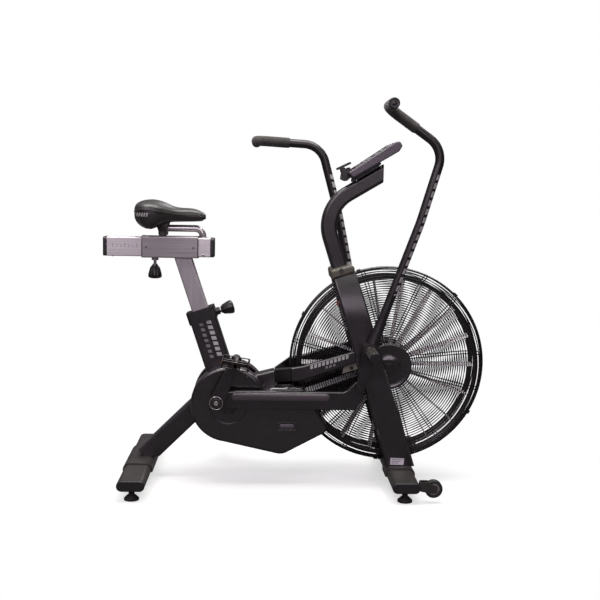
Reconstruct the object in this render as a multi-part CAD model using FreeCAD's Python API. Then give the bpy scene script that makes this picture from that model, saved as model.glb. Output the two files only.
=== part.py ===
"""Air bike: a fan-braked exercise bike with swinging arms.

Frame of the model, in millimetres: X forwards (the way the rider faces), Y to the rider's left,
Z up from the floor. X = 0 is half way along the whole machine and Y = 0 is its middle plane.
Right-hand pieces lie at negative Y, and left-hand pieces are their mirror images.
"""
import FreeCAD, Part
import math
import os

V = FreeCAD.Vector
Y_AXIS = V(0, 1, 0)

os.makedirs("parts", exist_ok=True)

# ---------------------------------------------------------------- driving dimensions
RUNNING = 0.05            # radial clearance of a shaft in its bearing
APART = 0.4               # gap between pieces that slide or turn past each other

FAN = (297.0, 380.0)      # fan axle, X and Z
CRANK = (-208.0, 256.0)   # crank spindle
PIVOT = (229.0, 441.0)    # arm pivot, and the foot peg on it
JACK = (-15.0, 240.0)     # jackshaft between the two chains

# widths across the machine, as distances from its middle plane
TUBE_HALF = 30.0          # half width of the middle tubes
COVER_IN, COVER_OUT = 34.0, 97.0
LEG_IN, LEG_OUT = 90.0, 120.0
BEAM_IN, BEAM_OUT = 92.0, 114.0
INNER_CRANK_IN, INNER_CRANK_OUT = 103.0, 119.0
LINK_IN, LINK_OUT = 123.0, 143.0
CRANK_ARM_IN, CRANK_ARM_OUT = 147.0, 161.0
LEVER_IN, LEVER_OUT = 147.0, 159.0
ARM_Y = 140.0
SIDE = 297.0              # feet, pegs and grips all end here

# fan and cage
CAGE_R = 314.0
CAGE_FACE = 69.0
CAGE_SHOULDER_R = 246.0
CAGE_WALL = 3.0
CAGE_DISC_R = 74.0
CAGE_SPOKES = 12
SLOT_PITCH = 15.0
SLOT_BAR = 4.0
FAN_RIM_R = 290.0
FAN_RIM_WIDTH = 14.0
FAN_HALF = 42.0
BLADES = 18
BLADE_THICK = 1.5
HUB_R = 42.0
AXLE_R = 8.0

# crank, links and arms
ECCENTRIC = 41.0
ECCENTRIC_ANGLE = 153.0   # right-hand eccentric pin, from +X towards +Z
PEDAL_REACH = 158.0
PEDAL_ANGLE = 81.3        # right-hand pedal
PIN_R = 12.0
SPINDLE_R = 12.0
LEVER = 123.5
LEVER_LEAN = 14.1         # lever of the right arm, rearwards of straight down
ARM_SPREAD = 31.8         # angle between the two arms
LINK_HEIGHT = 56.0
LINK_DROP = 32.0          # the link bar runs this far under its front pin
CHAIN_PITCH = 12.7
CHAINRING_TEETH, JACK_SMALL_TEETH = 31, 10
JACK_LARGE_TEETH, FAN_TEETH = 22, 10
TOOTH_TIP = 2.5           # height of the teeth outside the pitch circle
CHAIN_LOW, CHAIN_HIGH = 3.0, 8.0      # inside and outside of the chain, from the pitch circle
CHAIN_WIDE = 8.0
CHAIN_1_Y = -62.0
CHAIN_2_Y = 75.0

# arms, in the plane of the right arm and measured from its pivot (X forwards, Z up)
ARM_R = 14.0
ARM_PATH = ((4.4, 12.2), (144.0, 399.0), (209.0, 622.0), (34.0, 744.0))
ARM_RADII = (500.0, 75.0, 42.0)
GRIP_R = 17.0
GRIP_LENGTH = 110.0       # along the slanted top of the arm, before the bend to the side
HUB_SLEEVE_R = 24.0
STUB_R = 15.0
SOCKET_LONG = 80.0

# seat
SEAT_LEAN = 18.5          # seat tube, rearwards of upright
SEAT_TUBE_TOP = 300.0     # along the tube from the crank spindle
SEAT_TUBE_DEPTH, SEAT_TUBE_WIDE = 84.0, 62.0
POST_DEPTH, POST_WIDE = 52.0, 46.0
POST_IN_TUBE = 150.0
SLEEVE = (-488.0, -313.0)
SLIDER = (-598.0, -274.0)
SLIDER_CAP = 13.0
SLIDER_Z = 745.0
SLIDER_HEIGHT, SLIDER_WIDE = 61.0, 58.0
SLEEVE_HEIGHT, SLEEVE_WIDE = 68.0, 66.0
STEM_R = 11.0
STEM_X, STEM_TOP = -299.0, 804.0

# feet
REAR_FOOT_X, FRONT_FOOT_X = -490.0, 333.0
BAR_LOW, BAR_HIGH, BAR_DEPTH = 33.0, 65.5, 84.0
SADDLE_PLATE = 5.0        # plate between a foot bar and the leg welded to it
BAR_END = 290.0
FOOT_Y = 262.0
WHEEL = (417.0, 44.0)
WHEEL_R, WHEEL_HALF, WHEEL_Y = 27.0, 10.0, 272.0


# ---------------------------------------------------------------- helpers
def save(name, *solids):
    """Writes one node. Several solids stay separate inside it."""
    shape = solids[0] if len(solids) == 1 else Part.makeCompound(list(solids))
    if not shape.isValid():
        raise ValueError(name + " is not a valid shape")
    shape.exportStep("parts/" + name + ".step")
    return shape


def at(point, y=0.0):
    """An (X, Z) pair at a distance across the machine, as a vector."""
    return V(point[0], y, point[1])


def box(x0, x1, y0, y1, z0, z1):
    return Part.makeBox(x1 - x0, y1 - y0, z1 - z0, V(x0, y0, z0))


def rod(centre, radius, y0, y1):
    """A round bar across the machine."""
    return Part.makeCylinder(radius, y1 - y0, at(centre, y0), Y_AXIS)


def ring(centre, outer, inner, y0, y1):
    return rod(centre, outer, y0, y1).cut(rod(centre, inner, y0 - 1, y1 + 1))


def mirrored(shape):
    """The left-hand copy of a right-hand piece."""
    return shape.mirror(V(0, 0, 0), Y_AXIS)


def turned(shape, centre, degrees):
    """The shape turned about an axis across the machine: positive tips its top forwards."""
    copy = shape.copy()
    copy.rotate(at(centre), Y_AXIS, degrees)
    return copy


def polar(centre, radius, degrees):
    """The point at an angle from +X towards +Z."""
    angle = math.radians(degrees)
    return (centre[0] + radius * math.cos(angle), centre[1] + radius * math.sin(angle))


def tangent_wire(points, radii, closed=False):
    """Straight runs joined by tangent arcs. radii holds one radius for each corner, 0 for a sharp one."""
    count = len(points)
    corners = range(count) if closed else range(1, count - 1)
    starts, ends, arcs = list(points), list(points), {}
    for corner, radius in zip(corners, radii):
        if radius <= 0:
            continue
        here = points[corner]
        back = (points[corner - 1] - here).normalize()
        ahead = (points[(corner + 1) % count] - here).normalize()
        half = back.getAngle(ahead) / 2
        reach = radius / math.tan(half)
        middle = (back + ahead).normalize()
        starts[corner] = here + back * reach
        ends[corner] = here + ahead * reach
        arcs[corner] = here + middle * (radius / math.sin(half) - radius)
    edges = []
    for corner in range(count):
        if corner in arcs:
            edges.append(Part.Arc(starts[corner], arcs[corner], ends[corner]).toShape())
        if closed or corner < count - 1:
            start, end = ends[corner], starts[(corner + 1) % count]
            if (end - start).Length > 1e-6:
                edges.append(Part.LineSegment(start, end).toShape())
    return Part.Wire(Part.__sortEdges__(edges))


def slab(outline, radii, y0, y1):
    """A flat piece across the machine from an outline of (X, Z) points with rounded corners."""
    if not hasattr(radii, "__len__"):
        radii = [radii] * len(outline)
    wire = tangent_wire([at(p, y0) for p in outline], radii, closed=True)
    return Part.Face(wire).extrude(V(0, y1 - y0, 0))


def inset_slab(outline, radii, inset, y0, y1):
    """A flat piece whose outline runs at a distance inside another one's."""
    face = Part.Face(tangent_wire([at(p, y0) for p in outline], radii, closed=True))
    return Part.Face(face.makeOffset2D(-inset).OuterWire).extrude(V(0, y1 - y0, 0))


def bar_between(start, end, height, y0, y1, radius=0.0):
    """A straight flat bar whose centre line runs from start to end, with square ends."""
    run = (at(end) - at(start)).normalize()
    side = V(-run.z, 0, run.x) * (height / 2)
    corners = [at(start) + side, at(end) + side, at(end) - side, at(start) - side]
    return slab([(c.x, c.z) for c in corners], radius, y0, y1)


def box_tube(start, end, height, half, wall, radius):
    """A hollow box tube on the middle plane, open at its ends, with rounded long edges."""
    run = at(end) - at(start)
    outer = rounded_section(at(start), run, height, 2 * half, radius).extrude(run)
    inner = rounded_section(at(start), run, height - 2 * wall, 2 * (half - wall), max(radius - wall, 1.0))
    return outer.cut(inner.extrude(run))


def rounded_section(centre, run, height, width, radius):
    """A rounded rectangle square to a run in the X-Z plane, as a face."""
    up = V(-run.z, 0, run.x).normalize() * (height / 2)
    side = Y_AXIS * (width / 2)
    corners = [centre + up + side, centre + up - side, centre - up - side, centre - up + side]
    return Part.Face(tangent_wire(corners, [radius] * 4, closed=True))


def pipe(points, radii, outer, inner=0.0):
    """A round bar or tube along runs joined by tangent arcs."""
    path = tangent_wire(points, radii)
    run = (points[1] - points[0]).normalize()

    def swept(radius):
        section = Part.Wire(Part.makeCircle(radius, points[0], run))
        return path.makePipeShell([section], True, True)

    solid = swept(outer)
    return solid.cut(swept(inner)) if inner > 0 else solid


def softened(shape, radius, keep):
    """Rounds the edges for which keep(edge) is true."""
    edges = [edge for edge in shape.Edges if keep(edge)]
    return shape.makeFillet(radius, edges)


def on_face(y):
    """Picks edges that lie wholly at one distance across the machine."""
    return lambda edge: abs(edge.BoundBox.YMin - y) < 1e-3 and abs(edge.BoundBox.YMax - y) < 1e-3


# ---------------------------------------------------------------- main frame
SEAT_RUN = V(-math.sin(math.radians(SEAT_LEAN)), 0, math.cos(math.radians(SEAT_LEAN)))
SEAT_FORWARD = V(SEAT_RUN.z, 0, -SEAT_RUN.x)


def up_seat(distance, forward=0.0):
    """A point by its distance up the seat tube from the spindle and forwards of its axis."""
    return at(CRANK) + SEAT_RUN * distance + SEAT_FORWARD * forward


def seat_box(low, high, depth, width, radius, forward=0.0):
    """A solid bar along the seat tube's axis."""
    start = up_seat(low, forward)
    return rounded_section(start, SEAT_RUN, depth, width, radius).extrude(SEAT_RUN * (high - low))


BB_R, BB_HALF = 33.0, 33.0
LEG_FOOT = BAR_HIGH + SADDLE_PLATE
REAR_LEG = ((-477.0, 68.0), (-215.0, 326.0))
REAR_LEG_HEIGHT = 62.0
SPINE_TUBE = ((-190.0, 298.0), (-60.0, 331.0))
SPINE_HEIGHT = 50.0
HORN_ENDS = ((-64.0, 0.0, 30.0, 314.0, 357.0),       # X, |Y| from and to, Z from and to
             (-14.0, 92.0, 114.0, 338.0, 378.0))
BEAM = ((-14.0, 338.0), (2.0, 336.0), (30.0, 343.0), (190.0, 399.0),
        (200.0, 438.0), (20.0, 384.0), (-14.0, 378.0))
BEAM_RADII = (0, 30, 60, 2, 2, 90, 0)
LEG_RIM = 45.0            # half depth of a fork leg at the foot
LEG_TOP_RIM = 38.0
LEG_WALL = 3.0
LEG_BEND_Z, LEG_BEND_R = 530.0, 280.0
SEAM = ((104.0, 652.0), (182.0, 678.0))
CROWN_HALF = 84.0


def seat_tube():
    shell = seat_box(0, SEAT_TUBE_TOP, SEAT_TUBE_DEPTH, SEAT_TUBE_WIDE, 8)
    hollow = seat_box(BB_R, SEAT_TUBE_TOP + 1, SEAT_TUBE_DEPTH - 6, SEAT_TUBE_WIDE - 6, 5)
    bracket = rod(CRANK, BB_R, -BB_HALF - 5, BB_HALF + 5)
    knob_hole = Part.makeCylinder(9, 60, up_seat(KNOB_UP, SEAT_TUBE_DEPTH / 2 - 20), SEAT_FORWARD)
    return shell.cut(hollow).cut(bracket).cut(knob_hole)


def rear_leg():
    tube = box_tube(REAR_LEG[0], REAR_LEG[1], REAR_LEG_HEIGHT, TUBE_HALF, 3, 8)
    above_bar = box(-700, 0, -60, 60, LEG_FOOT, 400)
    tube = tube.cut(seat_box(0, SEAT_TUBE_TOP, SEAT_TUBE_DEPTH, SEAT_TUBE_WIDE, 8))
    behind = slab(((-700, 0), (up_seat(0).x, 0), (up_seat(250).x, up_seat(250).z), (-700, 493)), 0, -60, 60)
    return tube.common(above_bar).common(behind)


def drive_beam():
    """Bottom bracket shell, and the short beam that carries the jackshaft housing."""
    outer = rod(CRANK, BB_R, -BB_HALF, BB_HALF).fuse(rod(JACK, 18, -BB_HALF, BB_HALF))
    bar = bar_between(CRANK, JACK, 34, -22, 22)
    outer = outer.fuse(bar.cut(seat_box(0, SEAT_TUBE_TOP, SEAT_TUBE_DEPTH, SEAT_TUBE_WIDE, 8)))
    bore = rod(CRANK, BEARING_R, -BB_HALF - 1, BB_HALF + 1).fuse(rod(JACK, JACK_BEARING_R, -60, 60))
    return outer.cut(bore).removeSplitter()


def horn(inset):
    """One arm of the forked spine, out to the start of the right-hand side beam."""
    wires = []
    for x, near, far, low, high in HORN_ENDS:
        corners = [V(x, -near - inset, low + inset), V(x, -far + inset, low + inset),
                   V(x, -far + inset, high - inset), V(x, -near - inset, high - inset)]
        wires.append(Part.makePolygon(corners + corners[:1]))
    return Part.makeLoft(wires, True, True)


def frame_junction():
    """Spine rising from the seat tube and forked into two horns, one for each side beam."""
    spine = box_tube(SPINE_TUBE[0], SPINE_TUBE[1], SPINE_HEIGHT, TUBE_HALF, 3, 6)
    spine = spine.cut(seat_box(0, SEAT_TUBE_TOP, SEAT_TUBE_DEPTH, SEAT_TUBE_WIDE, 8))
    spine = spine.cut(rod(CRANK, BB_R, -60, 60))
    ahead = max(spine.Solids, key=lambda piece: piece.CenterOfMass.x)
    outer = horn(0)
    long_edges = [edge for edge in outer.Edges if edge.BoundBox.XLength > 30 and edge.BoundBox.YMin < -40]
    outer = outer.makeFillet(4, [edge for edge in long_edges if edge.BoundBox.YMax < -20])
    fork = ahead.fuse([outer, mirrored(outer)])
    return fork.cut([horn(3), mirrored(horn(3))]).removeSplitter()


def fork_side(inset, low, high):
    """The fork leg seen from the side, between two heights."""
    def edge(sign):
        foot = V(336.5 + sign * (LEG_RIM - inset), 0, low)
        middle = V(239.0 + sign * (LEG_RIM - 2.5 - inset), 0, 380)
        top = V(140.0 + sign * (LEG_TOP_RIM - inset), 0, high)
        return Part.Arc(foot, middle, top).toShape()

    rear, front = edge(-1), edge(1)
    ends = [Part.LineSegment(rear.Vertexes[i].Point, front.Vertexes[i].Point).toShape() for i in (0, -1)]
    face = Part.Face(Part.Wire(Part.__sortEdges__([rear, front] + ends)))
    return face.extrude(V(0, 200, 0))


def fork_front(inset, low):
    """The fork leg seen from the front: upright, then curving in under the crown."""
    outer, inner = LEG_OUT - inset, LEG_IN + inset
    centre_y = LEG_OUT - LEG_BEND_R
    sweep = math.radians(36)

    def bend(y):
        radius = y - centre_y
        start = V(0, y, LEG_BEND_Z)
        middle = V(0, centre_y + radius * math.cos(sweep / 2), LEG_BEND_Z + radius * math.sin(sweep / 2))
        end = V(0, centre_y + radius * math.cos(sweep), LEG_BEND_Z + radius * math.sin(sweep))
        return Part.Arc(start, middle, end).toShape(), start, end

    out_arc, out_start, out_end = bend(outer)
    in_arc, in_start, in_end = bend(inner)
    out_foot, in_foot = V(0, outer, low), V(0, inner, low)
    runs = ((out_foot, out_start), (in_foot, in_start), (out_foot, in_foot), (out_end, in_end))
    edges = [out_arc, in_arc] + [Part.LineSegment(a, b).toShape() for a, b in runs]
    face = Part.Face(Part.Wire(Part.__sortEdges__(edges)))
    return face.extrude(V(600, 0, 0))


def below_seam():
    """Everything under the line where the crown sits on the fork legs."""
    (x0, z0), (x1, z1) = SEAM
    slope = (z1 - z0) / (x1 - x0)
    left, right = 0.0, 600.0
    outline = ((left, 0), (right, 0), (right, z0 + slope * (right - x0)), (left, z0 + slope * (left - x0)))
    return slab(outline, 0, -200, 200)


def fork_solid(inset=0.0, low=LEG_FOOT):
    leg = fork_side(inset, low, 700).common(fork_front(inset, low))
    return leg.common(below_seam())


def fork_leg():
    """One leg, on the left: a hollow pressed tube, open at the foot and under the crown."""
    outside = softened(fork_solid(), 6, long_edges_of_leg)
    return outside.cut(fork_solid(LEG_WALL, LEG_FOOT - 5))


def long_edges_of_leg(edge):
    return edge.BoundBox.ZLength > 100


def fork_crown():
    (x0, z0), (x1, z1) = SEAM
    outline = ((x0 + 6, z0 + 2), (x1, z1), (x1 - 4, 704), (x0 + 1, 683))
    block = slab(outline, (2, 2, 12, 8), -CROWN_HALF, CROWN_HALF)
    return softened(block, 8, lambda edge: on_face(CROWN_HALF)(edge) or on_face(-CROWN_HALF)(edge))


MAST_FOOT, MAST_CORNER, MAST_END = (136.0, 693.0), (77.8, 873.0), (290.0, 1001.5)
MAST_CUT_X = 269.0
MAST_BEND_R = 120.0
MAST_DEPTH, MAST_HALF = 49.0, 31.0


def mast():
    points = [at(MAST_FOOT), at(MAST_CORNER), at(MAST_END)]
    path = tangent_wire(points, [MAST_BEND_R])
    run = points[1] - points[0]
    outside = rounded_section(points[0], run, MAST_DEPTH, 2 * MAST_HALF, 10)
    inside = rounded_section(points[0], run, MAST_DEPTH - 6, 2 * MAST_HALF - 6, 7)
    outer = path.makePipeShell([outside.OuterWire], True)
    inner = path.makePipeShell([inside.OuterWire], True)
    tube = outer.cut(inner).common(box(0, MAST_CUT_X - 2, -60, 60, 600, 1100))
    end_plate = outer.common(box(MAST_CUT_X - 2, MAST_CUT_X, -60, 60, 600, 1100))
    return tube.fuse(end_plate).cut(fork_crown()).removeSplitter()


def side_beam():
    """The right-hand beam from the forked spine to the fork leg, deeper at its rear end."""
    beam = slab(BEAM, BEAM_RADII, -BEAM_OUT, -BEAM_IN)
    for side in (-BEAM_OUT, -BEAM_IN):
        beam = softened(beam, 4, on_face(side))
    beam = beam.cut(inset_slab(BEAM, BEAM_RADII, 3, 3 - BEAM_OUT, -3 - BEAM_IN))
    beam = beam.cut(mirrored(fork_solid()))
    return max(beam.Solids, key=lambda piece: piece.Volume)


# ---------------------------------------------------------------- feet
def foot_section(x, inset):
    """The flat oval section of a foot bar."""
    low, high = BAR_LOW + inset, BAR_HIGH - inset
    rear, front = x - BAR_DEPTH / 2 + inset, x + BAR_DEPTH / 2 - inset
    radius = (high - low) / 2 - 0.5
    return (((rear, low), (front, low), (front, high), (rear, high)), radius)


def foot_bar(x):
    outer = slab(*foot_section(x, 0), -BAR_END, BAR_END)
    inner = slab(*foot_section(x, 3), -BAR_END - 1, BAR_END + 1)
    bar = outer.cut(inner)
    for y in (-FOOT_Y, FOOT_Y):
        bar = bar.cut(Part.makeCylinder(FOOT_STEM_R + RUNNING, 10, V(x, y, BAR_LOW - 3)))
    return bar


def foot_cap(x, sign):
    """The plastic plug in one end of a foot bar."""
    face = slab(*foot_section(x, 0), BAR_END, SIDE)
    face = softened(face, 3, on_face(SIDE))
    plug = slab(*foot_section(x, 3.1), BAR_END - 12, BAR_END)
    cap = face.fuse(plug)
    return cap if sign > 0 else mirrored(cap)


FOOT_STEM_R, FOOT_PAD_R, FOOT_PAD_HIGH = 5.0, 22.5, 14.0


def levelling_foot(x, y):
    """Rubber pad on a threaded stem that screws into the foot bar."""
    cone = Part.makeCone(FOOT_PAD_R, 12, 10, V(0, 0, 6))
    pad = Part.makeCylinder(FOOT_PAD_R, 6, V(0, 0, 0)).fuse(cone)
    nut = Part.makeCylinder(9, 7, V(0, 0, 16))
    stem = Part.makeCylinder(FOOT_STEM_R, BAR_HIGH - 12, V(0, 0, 2))
    foot = pad.fuse([nut, stem]).removeSplitter()
    foot.translate(V(x, y, 0))
    return foot


def saddle_plate(x, half, y):
    """A plate folded over a foot bar, which a leg is welded to."""
    wrap = slab(*foot_section(x, -SADDLE_PLATE), y - half, y + half)
    wrap = wrap.cut(slab(*foot_section(x, 0), y - half - 1, y + half + 1))
    return wrap.common(box(x - 100, x + 100, y - half, y + half, BAR_LOW + 9, LEG_FOOT))


def wheel_bracket():
    """A right-hand bracket for a transport wheel: two cheeks on a back plate, and the axle pin."""
    cheek = ((376.0, 38.0), (376.0, 66.0), (400.0, 66.0), (WHEEL[0] + 10, 54.0), (WHEEL[0] + 10, 34.0),
             (400.0, 34.0))
    reach = WHEEL_HALF + 1.0
    pieces = [slab(cheek, 3, -WHEEL_Y + s, -WHEEL_Y + s + 3) for s in (reach, -reach - 3)]
    back = box(374.5, 379, -WHEEL_Y - reach - 3, -WHEEL_Y + reach + 3, 40, 64)
    pin = rod(WHEEL, WHEEL_PIN_R, -WHEEL_Y - reach - 3, -WHEEL_Y + reach + 3)
    bracket = back.fuse(pieces + [pin]).removeSplitter()
    return bracket.cut(slab(*foot_section(FRONT_FOOT_X, 0), -SIDE, 0))


WHEEL_PIN_R = 4.0


def transport_wheel():
    tyre = ring(WHEEL, WHEEL_R, WHEEL_PIN_R + RUNNING, -WHEEL_Y - WHEEL_HALF, -WHEEL_Y + WHEEL_HALF)
    tyre = softened(tyre, 3, lambda edge: edge.BoundBox.XLength > 2 * WHEEL_R - 2)
    groove = ring(WHEEL, 18, 9, -WHEEL_Y - WHEEL_HALF - 1, -WHEEL_Y - WHEEL_HALF + 3)
    return tyre.cut(groove).cut(groove.mirror(V(0, -WHEEL_Y, 0), Y_AXIS))


# ---------------------------------------------------------------- drive
BEARING_R = 24.0
JACK_BEARING_R, JACK_R = 14.0, 8.0
COVER_ROUND_R = 120.0
RECESS_R, RECESS_DEEP = 62.0, 9.0
LOBE = ((-208.0, 256.0), (-96.0, 300.0), (-74.0, 312.0), (27.0, 312.0), (112.0, 176.0), (-38.0, 96.0),
        (-242.0, 141.0))
LOBE_RADII = (0, 30, 30, 14, 22, 45, 0)
LOBE_IN = 73.0
COVER_WALL = 3.0
LATCH = (-23.5, 188.0)
THROAT_R = 308.5          # the deep part of the cover ends on this circle round the fan


def cover_outside(inset, round_in, lobe_in, outer, rounding=0.0):
    """The cover as a solid: a drum round the crank, and a lobe in front that narrows beside the fan cage."""
    drum = rod(CRANK, COVER_ROUND_R - inset, round_in, outer)
    outline = Part.Face(tangent_wire([at(p, lobe_in) for p in LOBE], LOBE_RADII, closed=True))
    if inset > 0:
        outline = Part.Face(outline.makeOffset2D(-inset).OuterWire)
    lobe = outline.extrude(V(0, outer - lobe_in, 0))
    outline.translate(V(0, round_in - lobe_in, 0))
    throat = outline.extrude(V(0, outer - rounding - round_in, 0))
    throat = throat.cut(rod(FAN, THROAT_R + inset, round_in - 1, outer + 1))
    if rounding > 0:
        drum = softened(drum, rounding, on_face(outer))
        lobe = softened(lobe, rounding, on_face(outer))
    return drum.fuse([lobe, throat]).removeSplitter()


def latch_cuts():
    """The finger slot of the cover's latch, and the hole of the screw over it."""
    x, z = LATCH
    slot = slab(((x - 28, z - 10), (x + 28, z - 10), (x + 28, z + 10), (x - 28, z + 10)), 5,
                COVER_OUT - 2.2, COVER_OUT + 1)
    lip = slab(((x - 21, z - 7), (x + 21, z - 7), (x + 21, z + 1), (x - 21, z + 1)), 3,
               COVER_OUT - 3, COVER_OUT - 0.6)
    screw = rod((x + 2, z + 28), 4, COVER_OUT - 1.2, COVER_OUT + 1)
    return slot.cut(lip).fuse(screw)


def chain_cover():
    """One shell, on the left, open towards the frame, with a round recess for the inner crank."""
    shell = cover_outside(0, COVER_IN, LOBE_IN, COVER_OUT, 9)
    hollow = cover_outside(COVER_WALL, COVER_IN - 1, LOBE_IN - 1, COVER_OUT - COVER_WALL)
    shell = shell.cut(hollow)
    dish = rod(CRANK, RECESS_R + COVER_WALL, COVER_OUT - RECESS_DEEP - COVER_WALL, COVER_OUT - 2)
    shell = shell.fuse(dish).cut(rod(CRANK, RECESS_R, COVER_OUT - RECESS_DEEP, COVER_OUT + 1))
    return shell.cut([rod(CRANK, 30, 0, 200), latch_cuts()]).removeSplitter()


GUARD_IN, GUARD_OUT, GUARD_WALL = 70.5, 82.5, 2.0
GUARD_JACK_R, GUARD_FAN_R = 56.5, 32.5


def left_cover():
    """The left shell, and the guard that carries on up to the fan along the second chain."""
    guard = slab_round(JACK, GUARD_JACK_R, FAN, GUARD_FAN_R, GUARD_IN, GUARD_OUT)
    inside = slab_round(JACK, GUARD_JACK_R - GUARD_WALL, FAN, GUARD_FAN_R - GUARD_WALL,
                        GUARD_IN - 1, GUARD_OUT - GUARD_WALL)
    guard = guard.cut(inside).cut(rod(FAN, 14, GUARD_IN, GUARD_OUT + 1))
    guard = guard.cut(cover_outside(0, COVER_IN, GUARD_IN - 1, COVER_OUT))
    guard = max(guard.Solids, key=lambda piece: piece.Volume)
    return chain_cover().cut(inside), guard


def opposite(piece):
    """The left-hand copy of a right-hand piece of the crank, half a turn round the spindle."""
    return mirrored(turned(piece, CRANK, 180))


def crank_spindle():
    """Spindle with its two inner cranks and their eccentric pins, pressed together for good."""
    right_pin = polar(CRANK, ECCENTRIC, ECCENTRIC_ANGLE)
    web = slab_round(CRANK, 22, right_pin, 22, -INNER_CRANK_OUT, -INNER_CRANK_IN)
    pin = rod(right_pin, PIN_R, -CRANK_ARM_IN, -INNER_CRANK_OUT)
    side = web.fuse(pin)
    spindle = rod(CRANK, SPINDLE_R, -INNER_CRANK_IN, INNER_CRANK_IN)
    return spindle.fuse([side, opposite(side)]).removeSplitter()


def slab_round(first, first_r, second, second_r, y0, y1):
    """A flat lever with a round eye at each end and tangent sides."""
    across = math.hypot(second[0] - first[0], second[1] - first[1])
    aim = math.degrees(math.atan2(second[1] - first[1], second[0] - first[0]))
    flare = math.degrees(math.acos((first_r - second_r) / across))
    outline = (polar(first, first_r, aim + flare), polar(second, second_r, aim + flare),
               polar(second, second_r, aim - flare), polar(first, first_r, aim - flare))
    body = slab(outline, 0, y0, y1)
    return body.fuse([rod(first, first_r, y0, y1), rod(second, second_r, y0, y1)]).removeSplitter()


def pitch_radius(teeth):
    return teeth * CHAIN_PITCH / (2 * math.pi)


def toothed(centre, teeth, y):
    """A chain sprocket with a plain ring of round-bottomed teeth."""
    tip = pitch_radius(teeth) + TOOTH_TIP
    disc = rod(centre, tip, y - 1.5, y + 1.5)
    gaps = [rod(polar(centre, tip, 360.0 * i / teeth), 3.6, y - 3, y + 3) for i in range(teeth)]
    return disc.cut(gaps)


def chainring():
    disc = toothed(CRANK, CHAINRING_TEETH, CHAIN_1_Y)
    windows = [rod(polar(CRANK, 42, 72.0 * i), 10, CHAIN_1_Y - 5, CHAIN_1_Y + 5) for i in range(5)]
    boss = rod(CRANK, 26, CHAIN_1_Y - 8, CHAIN_1_Y + 8)
    return disc.cut(windows).fuse(boss).cut(rod(CRANK, SPINDLE_R, -100, 0)).removeSplitter()


def chain_loop(first, first_teeth, second, second_teeth, y):
    """A roller chain as a plain closed band round two sprockets."""
    first_r, second_r = pitch_radius(first_teeth), pitch_radius(second_teeth)
    outer = slab_round(first, first_r + CHAIN_HIGH, second, second_r + CHAIN_HIGH,
                       y - CHAIN_WIDE / 2, y + CHAIN_WIDE / 2)
    inner = slab_round(first, first_r + CHAIN_LOW, second, second_r + CHAIN_LOW,
                       y - CHAIN_WIDE, y + CHAIN_WIDE)
    return outer.cut(inner)


def jackshaft():
    shaft = rod(JACK, JACK_R, CHAIN_1_Y - 6, CHAIN_2_Y + 3)
    small = toothed(JACK, JACK_SMALL_TEETH, CHAIN_1_Y)
    large = toothed(JACK, JACK_LARGE_TEETH, CHAIN_2_Y)
    collars = [rod(JACK, 12, CHAIN_1_Y - 5, -BB_HALF - APART), rod(JACK, 12, BB_HALF + APART, CHAIN_2_Y + 2)]
    return shaft.fuse([small, large] + collars).removeSplitter()


def bearings():
    """Ball bearings, each shown as its outer size: two for the spindle and two for the jackshaft."""
    rings = []
    for centre, outer, inner in ((CRANK, BEARING_R, SPINDLE_R), (JACK, JACK_BEARING_R, JACK_R)):
        for y0, y1 in ((-BB_HALF, -BB_HALF + 14), (BB_HALF - 14, BB_HALF)):
            rings.append(ring(centre, outer, inner + RUNNING, y0, y1))
    return rings


def crank_arm():
    """Right-hand outer crank arm, from the eccentric pin out to the pedal spindle."""
    pin = polar(CRANK, ECCENTRIC, ECCENTRIC_ANGLE)
    pedal = polar(CRANK, PEDAL_REACH, PEDAL_ANGLE)
    arm = slab_round(pin, 23, pedal, 14, -CRANK_ARM_OUT, -CRANK_ARM_IN)
    arm = softened(arm, 2.5, on_face(-CRANK_ARM_OUT))
    cap = ring(pin, 15, 9, -CRANK_ARM_OUT - 2, -CRANK_ARM_OUT)
    bolt = rod(pin, 7, -CRANK_ARM_OUT - 4, -CRANK_ARM_OUT)
    spindle = rod(pedal, PEDAL_PIN_R, -PEDAL_OUT + 4, -CRANK_ARM_OUT + 2)
    flange = rod(pedal, 10, -CRANK_ARM_OUT - 5, -CRANK_ARM_OUT + 2)
    return arm.fuse([cap, bolt, spindle, flange]).removeSplitter()


PEDAL_PIN_R = 6.0
PEDAL_IN, PEDAL_OUT = 176.0, 284.0
PEDAL_LONG, PEDAL_HIGH = 84.0, 24.0
PEDAL_NOSE_DOWN = 9.5


def pedal():
    """Right-hand platform pedal: a centre barrel, a toothed cage round it and cross bars."""
    centre = polar(CRANK, PEDAL_REACH, PEDAL_ANGLE)
    x, z = centre
    half_long, half_high = PEDAL_LONG / 2, PEDAL_HIGH / 2
    frame = box(x - half_long, x + half_long, -PEDAL_OUT, -PEDAL_IN, z - half_high, z + half_high)
    hole = box(x - half_long + 3, x + half_long - 3, -PEDAL_OUT + 3, -PEDAL_IN - 3, z - 50, z + 50)
    frame = frame.cut(hole)
    for index in range(5):
        for edge in (z + half_high, z - half_high):
            start = V(x - half_long - 10, -PEDAL_IN - 14 - 20 * index, edge)
            frame = frame.cut(Part.makeCylinder(6, PEDAL_LONG + 20, start, V(1, 0, 0)))
    barrel = rod(centre, 12, -PEDAL_OUT, -PEDAL_IN)
    webs = [box(x - half_long + 1, x + half_long - 1, y - 2, y + 2, z - 5, z + 5)
            for y in (-PEDAL_IN - 12, -PEDAL_OUT + 12)]
    bore = rod(centre, PEDAL_PIN_R + RUNNING, -PEDAL_OUT + 3, -PEDAL_IN + 1)
    whole = frame.fuse([barrel] + webs).cut(bore).removeSplitter()
    return turned(whole, centre, PEDAL_NOSE_DOWN)


# ---------------------------------------------------------------- links and arms
def arm_pin():
    """Lower pin of the right arm, where its link joins it."""
    return polar(PIVOT, LEVER, 270.0 - LEVER_LEAN)


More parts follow.
